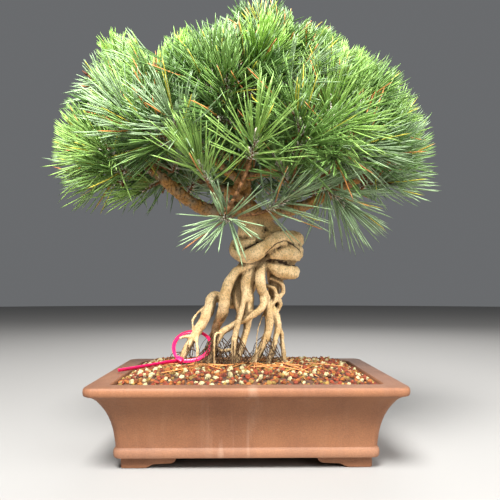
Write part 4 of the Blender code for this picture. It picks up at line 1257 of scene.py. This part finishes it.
def needle_mesh(name, feet, aims, size, bends, radius):
    """One mesh of many three-sided needles, each bent a little and drawn to a point."""
    count = len(feet)
    first, second = side_axes(aims)
    rings = []
    for place, thick in zip(NEEDLE_RINGS, RING_SIZES):
        centre = feet + (aims * place + bends * place * place) * size[:, None]
        for k in range(3):
            turn = 2 * math.pi * k / 3
            side = first * math.cos(turn) + second * math.sin(turn)
            rings.append(centre + side * radius * thick)
    rings.append(feet + (aims + bends) * size[:, None])
    points = np.stack(rings, axis=1).reshape(-1, 3) * MM
    quads = [(r + k, r + (k + 1) % 3, r + 3 + (k + 1) % 3, r + 3 + k) for r in (0, 3) for k in range(3)]
    tris = [(6 + k, 6 + (k + 1) % 3, 9) for k in range(3)] + [(2, 1, 0)]
    shift = (np.arange(count) * 10)[:, None, None]
    faces = (np.array(quads)[None] + shift).reshape(-1, 4).tolist()
    faces += (np.array(tris)[None] + shift).reshape(-1, 3).tolist()
    mesh = bpy.data.meshes.new(name)
    mesh.from_pydata(points.tolist(), [], faces)
    mesh.shade_smooth()
    return mesh


def tapered_mesh(name, starts, ends, thick, thin, sides):
    """One mesh of many short tapered pegs with closed ends."""
    aims = unit(ends - starts)
    first, second = side_axes(aims)
    turns = 2 * math.pi * np.arange(sides) / sides
    wheel = np.cos(turns)[None, :, None] * first[:, None] + np.sin(turns)[None, :, None] * second[:, None]
    low = starts[:, None] + wheel * np.reshape(thick, (-1, 1, 1))
    high = ends[:, None] + wheel * np.reshape(thin, (-1, 1, 1))
    points = np.concatenate([low, high], axis=1).reshape(-1, 3) * MM
    shift = np.arange(len(starts)) * 2 * sides
    walls = np.array([(k, (k + 1) % sides, sides + (k + 1) % sides, sides + k) for k in range(sides)])
    caps = np.array([tuple(reversed(range(sides))), tuple(range(sides, 2 * sides))])
    faces = (walls[None] + shift[:, None, None]).reshape(-1, 4).tolist()
    faces += (caps[None] + shift[:, None, None]).reshape(-1, sides).tolist()
    mesh = bpy.data.meshes.new(name)
    mesh.from_pydata(points.tolist(), [], faces)
    mesh.shade_smooth()
    return mesh


def pegs_along(name, curves, overlap, sides):
    """One mesh of tapered pegs along curves, each peg run a little into the next."""
    starts, ends, thick, thin = [], [], [], []
    for curve in curves:
        for (a, a_radius), (b, b_radius) in zip(curve, curve[1:]):
            starts.append(a[:])
            ends.append((b + (b - a).normalized() * overlap)[:])
            thick.append(a_radius)
            thin.append(b_radius)
    return tapered_mesh(name, np.array(starts), np.array(ends), np.array(thick), np.array(thin), sides)


def living_needle(name, colour):
    """Pine needles: waxy and stiff, so they have a soft gloss along their length."""
    made, shader = new_material(name, 0.48, Specular_IOR_Level=0.42)
    place = add_node(made, "ShaderNodeTexCoord").outputs["Object"]
    tone = add_node(made, "ShaderNodeTexNoise", {"Vector": place, "Scale": 70.0, "Detail": 2.0})
    base = linear(colour)
    body = add_node(made, "ShaderNodeValToRGB", {"Fac": tone.outputs["Fac"]},
                    stops=[(0.35, [0.82 * c for c in base]), (0.65, [1.16 * c for c in base])])
    link(made, body.outputs["Color"], shader.inputs["Base Color"])
    return made


def twig_bark(name, colour):
    """Young pine bark: dry overlapping scales, so it is matt and finely ringed."""
    made, shader = new_material(name, 0.85)
    place = add_node(made, "ShaderNodeTexCoord").outputs["Object"]
    scales = add_node(made, "ShaderNodeTexVoronoi", {"Vector": place, "Scale": 420.0})
    body = add_node(made, "ShaderNodeValToRGB", {"Fac": scales.outputs["Distance"]},
                    stops=[(0.1, [1.15 * c for c in colour]), (0.75, [0.45 * c for c in colour])])
    link(made, body.outputs["Color"], shader.inputs["Base Color"])
    relief = add_node(made, "ShaderNodeBump", {
        "Height": scales.outputs["Distance"], "Strength": 0.6, "Distance": 0.0008}, invert=True)
    link(made, relief.outputs["Normal"], shader.inputs["Normal"])
    return made


class BONSAI_OT_twigs(bpy.types.Operator):
    """Grows the twigs of every mass on from the boughs"""

    bl_idname = "bonsai.twigs"
    bl_label = "Twigs"

    def execute(self, context):
        settings = context.scene.bonsai_crown
        twigs, _ = grow()
        curves = []
        for twig in twigs:
            route = [(*point, radius) for point, radius in twig]
            curves.append(through_bends(route, TWIG_STEPS) if len(route) > 2 else twig)
        mesh = pegs_along("twigs", curves, TWIG_OVERLAP, sides=6)
        add_piece("twigs", mesh, twig_bark("scaly_twig", settings.twig), "young_bark")
        return {"FINISHED"}


class BONSAI_OT_needles(bpy.types.Operator):
    """Sets needles, sheaths, buds and new candles on every shoot"""

    bl_idname = "bonsai.needles"
    bl_label = "Needles"

    def execute(self, context):
        settings = context.scene.bonsai_crown
        chance = np.random.default_rng(SEED)
        lengths = (settings.needle_short / MM, settings.needle_long / MM)
        _, shoots = grow()
        sprays = {name: [] for name in [*GREENS, *STRAYS, "candle_green"]}
        sheaths, buds, stalks = [], [], []
        for foot, tip, marked in shoots:
            axis = (tip - foot).normalized()
            up = axis.lerp(Vector((0, 0, 1)), CANDLE_RISE).normalized()
            end = tip + up * CANDLE_END
            candle_here = self.has_candle(chance, tip, end + up * CANDLE_LENGTH[0], marked)
            last = foot.lerp(tip, CANDLE_BARE) if candle_here else tip
            grown = needles_on(chance, foot, last, settings.needles, NEEDLE_TILT, lengths)
            self.deal_out(chance, grown, tip, lengths[0], sprays, sheaths)
            if candle_here:
                stalks.append((last[:], (tip + axis * STALK_PAST)[:]))
                candle = needles_on(chance, tip - up * CANDLE_END, end, settings.candle_needles, CANDLE_TILT,
                                    CANDLE_LENGTH)
                sprays["candle_green"].append([*candle[:2], clipped(chance, *candle), candle[3]])
            else:
                buds.append((tip[:], (tip + axis * BUD_LENGTH)[:]))
        sprays["straw"].append(self.fallen(chance, lengths))
        colours = {name: colour for name, (colour, _) in {**GREENS, **STRAYS}.items()}
        colours["candle_green"] = CANDLE_GREEN
        for name, parts in sprays.items():
            self.add_needles(name, parts, colours[name], settings.needle_radius / MM)
        for name, pegs, radii, sides, bark, colour, slot in (
                ("sheaths", np.concatenate(sheaths), SHEATH_RADII, 3, "papery_sheath", settings.sheath,
                 "needles"),
                ("buds", np.array(buds), BUD_RADII, 6, "resinous_bud", settings.bud, "young_bark"),
                ("candle_stalks", np.array(stalks), STALK_RADII, 8, "scaly_stalk", settings.stalk,
                 "young_bark")):
            mesh = tapered_mesh(name, pegs[:, 0], pegs[:, 1], *radii, sides)
            add_piece(name, mesh, twig_bark(bark, colour), slot)
        return {"FINISHED"}

    def has_candle(self, chance, tip, reach, marked):
        """Whether a shoot ends in a new candle, which needs room under the sky."""
        height = sky_share(np.array([reach]))[0]
        new_growth = tip.z > CANDLE_FROM and chance.uniform() < CANDLE_SHARE and height < CANDLE_ROOM
        return (marked and height < MARKED_ROOM) or new_growth

    def deal_out(self, chance, grown, tip, shortest, sprays, sheaths):
        """Gives a shoot's needles the green of its spray, with some strays, and their sheaths."""
        feet, aims, _, bends = grown
        size = clipped(chance, *grown)
        missing, low = left_out(chance, feet, aims, size)
        keep = (size > SHORTEST_KEPT * shortest) & ~missing
        keep &= sky_share(feet + aims * size[:, None]) < SKY_SHARE
        draw = chance.uniform(size=len(feet))
        # Painted light and shade: darker greens are likelier in the crown's middle, paler ones at its sides.
        shares = GREEN_SHARES * (1.0 + SIDE_LIGHT_MIDDLE_SHADE * abs(tip.x) / REACH_X)
        green = list(GREENS)[chance.choice(len(GREENS), p=shares / shares.sum())]
        if hangs_low(tip):
            green = "grey_green"
        else:
            keep &= ~low
        limit = 0.0
        for name, share in [*((name, share) for name, (_, share) in STRAYS.items()), (green, 1.0)]:
            mine = keep & (draw >= limit) & (draw < limit + share)
            sprays[name].append([values[mine] for values in (feet, aims, size, bends)])
            limit += share
        sheaths.append(np.stack([feet, feet + aims * SHEATH_LENGTH], axis=1)[keep][::2])

    def fallen(self, chance, lengths):
        """Old needles that lie on the gravel round the roots."""
        x = chance.uniform(-FALLEN_REACH[0], FALLEN_REACH[0], FALLEN)
        y = chance.uniform(-FALLEN_REACH[1], FALLEN_REACH[1], FALLEN)
        feet = np.column_stack([x, y, [soil_height(*place) + FALLEN_ABOVE for place in zip(x, y)]])
        turn = chance.uniform(0.0, 2.0 * math.pi, FALLEN)
        size = chance.uniform(*lengths, FALLEN) * FALLEN_SIZE
        ends_x, ends_y = x + np.cos(turn) * size, y + np.sin(turn) * size
        rise = [soil_height(*place) + FALLEN_ABOVE for place in zip(ends_x, ends_y)] - feet[:, 2]
        aims = unit(np.column_stack([np.cos(turn) * size, np.sin(turn) * size, rise]))
        bends = np.column_stack([-np.sin(turn), np.cos(turn), np.zeros(FALLEN)]) * NEEDLE_BEND
        return feet, aims, size, bends

    def add_needles(self, name, parts, colour, radius):
        """Joins one colour's needles into pieces under the limit of triangles."""
        feet, aims, size, bends = (np.concatenate([part[i] for part in parts]) for i in range(4))
        pieces = math.ceil(len(feet) * NEEDLE_TRIANGLES / PIECE_TRIANGLES)
        material = living_needle(name, colour)
        for i, some in enumerate(np.array_split(np.arange(len(feet)), pieces)):
            mesh = needle_mesh(name, feet[some], aims[some], size[some], bends[some], radius)
            add_piece(f"needles_{name}_{i + 1}", mesh, material, "needles", *MASS_NODES)


# Cable tie

TIE_CENTRE = Vector((-69.6, 0.0, 124.8))
TIE_EDGE_ANGLE = 40.0
TIE_LEAN = 46.0
TIE_STEPS = 72
TAIL_STEPS = 12
TIE_HEAD = (8.4, 7.2, 6.2)
TIE_HEAD_ANGLE = 240.0
TIE_TWIST = (-55.0, -125.0)
TIE_PINCH = 0.2
TIE_PINCH_WIDTH = 30.0
TIE_PINCH_POWER = 1.5
TIE_TAIL = [(-98, -21, 106), (-116, -22, 103), (-136, -22, 99.5), (-160, -21, 95.8)]
TIE_TAIL_SIDE = Vector((0.0, -0.55, 0.84))
TIE_HEAD_EDGE = 0.7

# The strap's section as shares of half its thickness and width, and its thickness between teeth.
STRAP_SECTION = [(1, 0.86), (1, -0.86), (0.5, -1), (-0.5, -1), (-1, -0.86), (-1, 0.86), (-0.5, 1), (0.5, 1)]
STRAP_TROUGH = 0.72


def dyed_nylon(settings):
    """Moulded nylon: dyed through and a little clear, so it glows and has a tight gloss."""
    made, shader = new_material("dyed_nylon", 0.32, settings.nylon, Subsurface_Weight=0.15,
                                Subsurface_Scale=0.001, IOR=1.53)
    place = add_node(made, "ShaderNodeTexCoord").outputs["Object"]
    flow = add_node(made, "ShaderNodeTexNoise", {"Vector": place, "Scale": 220.0, "Detail": 2.0})
    relief = add_node(made, "ShaderNodeBump",
                      {"Height": flow.outputs["Fac"], "Strength": 0.15, "Distance": 0.0003})
    link(made, relief.outputs["Normal"], shader.inputs["Normal"])
    return made


class BONSAI_OT_tie(bpy.types.Operator):
    """Loops the cable tie round the big left root, with its head, teeth and tail"""

    bl_idname = "bonsai.tie"
    bl_label = "Cable tie"

    def execute(self, context):
        settings = context.scene.bonsai_tie
        lean = math.radians(TIE_LEAN)
        flat, rise = Vector((1, 0, 0)), Vector((0, math.sin(lean), math.cos(lean)))
        across = flat.cross(rise)
        radius = settings.loop_radius / MM

        def on_loop(degrees):
            turn = math.radians(degrees)
            off = min(degrees - TIE_HEAD_ANGLE, TIE_HEAD_ANGLE + 360.0 - degrees) / TIE_PINCH_WIDTH
            reach = radius * (1.0 + TIE_PINCH * math.exp(-abs(off) ** TIE_PINCH_POWER))
            return TIE_CENTRE + (flat * math.cos(turn) + rise * math.sin(turn)) * reach

        turns = [TIE_HEAD_ANGLE + 360.0 * i / TIE_STEPS for i in range(TIE_STEPS + 1)]
        loop = [on_loop(turn) for turn in turns]
        head_at = loop[0]
        tail = [head_at] + [Vector(point) for point in TIE_TAIL]
        tail = [point for point, _ in through_bends([(*point, 1.0) for point in tail], TAIL_STEPS)]
        bm = bmesh.new()
        sides = []
        for i, point in enumerate(loop):
            twist = math.radians(TIE_TWIST[0] + (TIE_TWIST[1] - TIE_TWIST[0]) * i / TIE_STEPS)
            out = (point - TIE_CENTRE).normalized()
            sides.append(across * math.cos(twist) + out * math.sin(twist))
        self.strap(bm, loop, sides, settings)
        self.strap(bm, tail, [TIE_TAIL_SIDE] * len(tail), settings)
        out = (head_at - TIE_CENTRE).normalized()
        turn = Matrix((out.cross(across), across, out)).transposed().to_4x4()
        place = Matrix.Translation(head_at * MM) @ turn @ Matrix.Diagonal((*[s * MM for s in TIE_HEAD], 1.0))
        head = bmesh.ops.create_cube(bm, size=1.0, matrix=place)
        edges = list({edge for vert in head["verts"] for edge in vert.link_edges})
        bmesh.ops.bevel(bm, geom=edges, offset=TIE_HEAD_EDGE * MM, segments=3, profile=0.5,
                        affect="EDGES", material=-1)
        mesh = mesh_of(bm, "nylon_tie")
        smooth_shading(mesh, TIE_EDGE_ANGLE)
        add_piece("nylon_tie", mesh, dyed_nylon(settings), "nylon", "cable_tie")
        return {"FINISHED"}

    def strap(self, bm, line, sides, settings):
        """A strap pushed along a line, its width along the sides given, thinner between its teeth."""
        wide, thick = settings.width / 2, settings.thickness / 2
        end = None
        for i, point in enumerate(line):
            way = (line[min(i + 1, len(line) - 1)] - line[max(i - 1, 0)]).normalized()
            side = sides[i]
            out = way.cross(side).normalized()
            deep = thick * (1.0 if i % 2 else STRAP_TROUGH)
            corners = [point * MM + out * a * deep + side * b * wide for a, b in STRAP_SECTION]
            if end is None:
                end = bm.faces.new([bm.verts.new(corner) for corner in corners])
                continue
            end = pushed_face(bm, end)
            for vert, corner in zip(end.verts, corners):
                vert.co = corner


# Stage

CAMERA_PLACE = (-6.79, -694.87, 191.34)
CAMERA_YAW = 0.97
CAMERA_PITCH = 4.70
CAMERA_CLIP = (0.01, 50.0)
SENSOR_WIDTH = 36.0
FLOOR_GAP = 0.0002
BACKDROP_STRENGTH = 0.22

# Soft boxes: place and size in metres and power in watts, all turned to one aim.
LIGHT_AIM = Vector((0, 0, 0.28))
LIGHTS = {
    "key": ((-0.3, -1.2, 1.85), 0.9, 158.0),
    "fill": ((1.4, -1.0, 1.1), 1.4, 39.0),
    "rim": ((0.3, 1.5, 1.5), 1.4, 24.0),
}


class BONSAI_OT_stage(bpy.types.Operator):
    """Sets the pale floor, the soft lights and the camera"""

    bl_idname = "bonsai.stage"
    bl_label = "Stage"

    def execute(self, context):
        settings = context.scene.bonsai_stage
        scene = context.scene
        bm = bmesh.new()
        bmesh.ops.create_circle(bm, cap_ends=True, segments=96, radius=settings.floor_radius)
        mesh = mesh_of(bm, "floor")
        floor = bpy.data.objects.new("floor", mesh)
        floor.location.z = -FLOOR_GAP
        scene.collection.objects.link(floor)
        painted, _ = new_material("painted_board", 0.8, settings.floor)
        mesh.materials.append(painted)
        world = bpy.data.worlds.new("studio")
        world.use_nodes = True
        background = world.node_tree.nodes["Background"]
        background.inputs["Color"].default_value = (*settings.backdrop, 1.0)
        background.inputs["Strength"].default_value = BACKDROP_STRENGTH
        scene.world = world
        for name, (place, size, power) in LIGHTS.items():
            self.add_light(name, place, size, power)
        yaw, pitch = math.radians(CAMERA_YAW), math.radians(CAMERA_PITCH)
        ahead = Vector((math.sin(yaw) * math.cos(pitch), math.cos(yaw) * math.cos(pitch), math.sin(pitch)))
        right = Vector((math.cos(yaw), -math.sin(yaw), 0.0))
        lens = bpy.data.cameras.new("camera")
        lens.lens = settings.lens
        lens.sensor_width = SENSOR_WIDTH
        lens.clip_start, lens.clip_end = CAMERA_CLIP
        camera = bpy.data.objects.new("camera", lens)
        turn = Matrix((right, right.cross(ahead), -ahead)).transposed().to_4x4()
        camera.matrix_world = Matrix.Translation(Vector(CAMERA_PLACE) * MM) @ turn
        scene.collection.objects.link(camera)
        scene.camera = camera
        scene.view_settings.view_transform = "Standard"
        return {"FINISHED"}

    def add_light(self, name, place, size, power):
        """A soft box that faces the middle of the tree."""
        lamp = bpy.data.lights.new(name, "AREA")
        lamp.size = size
        lamp.energy = power
        light = bpy.data.objects.new(name, lamp)
        light.location = place
        light.rotation_euler = (LIGHT_AIM - Vector(place)).to_track_quat("-Z", "Y").to_euler()
        bpy.context.scene.collection.objects.link(light)


OPERATORS = (BONSAI_OT_stage, BONSAI_OT_pot, BONSAI_OT_gravel, BONSAI_OT_trunk, BONSAI_OT_hairs,
             BONSAI_OT_boughs, BONSAI_OT_twigs, BONSAI_OT_needles, BONSAI_OT_tie)
SETTINGS = {
    "bonsai_pot": PotSettings, "bonsai_soil": SoilSettings, "bonsai_bark": BarkSettings,
    "bonsai_crown": CrownSettings, "bonsai_tie": TieSettings, "bonsai_stage": StageSettings,
}


class BONSAI_PT_panel(bpy.types.Panel):
    """Lists the pieces of the bonsai"""

    bl_idname = "BONSAI_PT_panel"
    bl_label = "Black Pine Bonsai"
    bl_space_type = "VIEW_3D"
    bl_region_type = "UI"
    bl_category = "Bonsai"

    def draw(self, context):
        for operator in OPERATORS:
            self.layout.operator(operator.bl_idname)


def register():
    """Adds the settings, the operators and the panel."""
    for group in SETTINGS.values():
        bpy.utils.register_class(group)
    for name, group in SETTINGS.items():
        setattr(bpy.types.Scene, name, PointerProperty(type=group))
    for operator in OPERATORS:
        bpy.utils.register_class(operator)
    bpy.utils.register_class(BONSAI_PT_panel)


def unregister():
    """Removes what register added."""
    bpy.utils.unregister_class(BONSAI_PT_panel)
    for operator in reversed(OPERATORS):
        bpy.utils.unregister_class(operator)
    for name, group in SETTINGS.items():
        delattr(bpy.types.Scene, name)
        bpy.utils.unregister_class(group)


def main():
    """Builds every piece in order."""
    register()
    for operator in OPERATORS:
        group, name = operator.bl_idname.split(".")
        getattr(getattr(bpy.ops, group), name)()


if __name__ == "__main__":
    main()
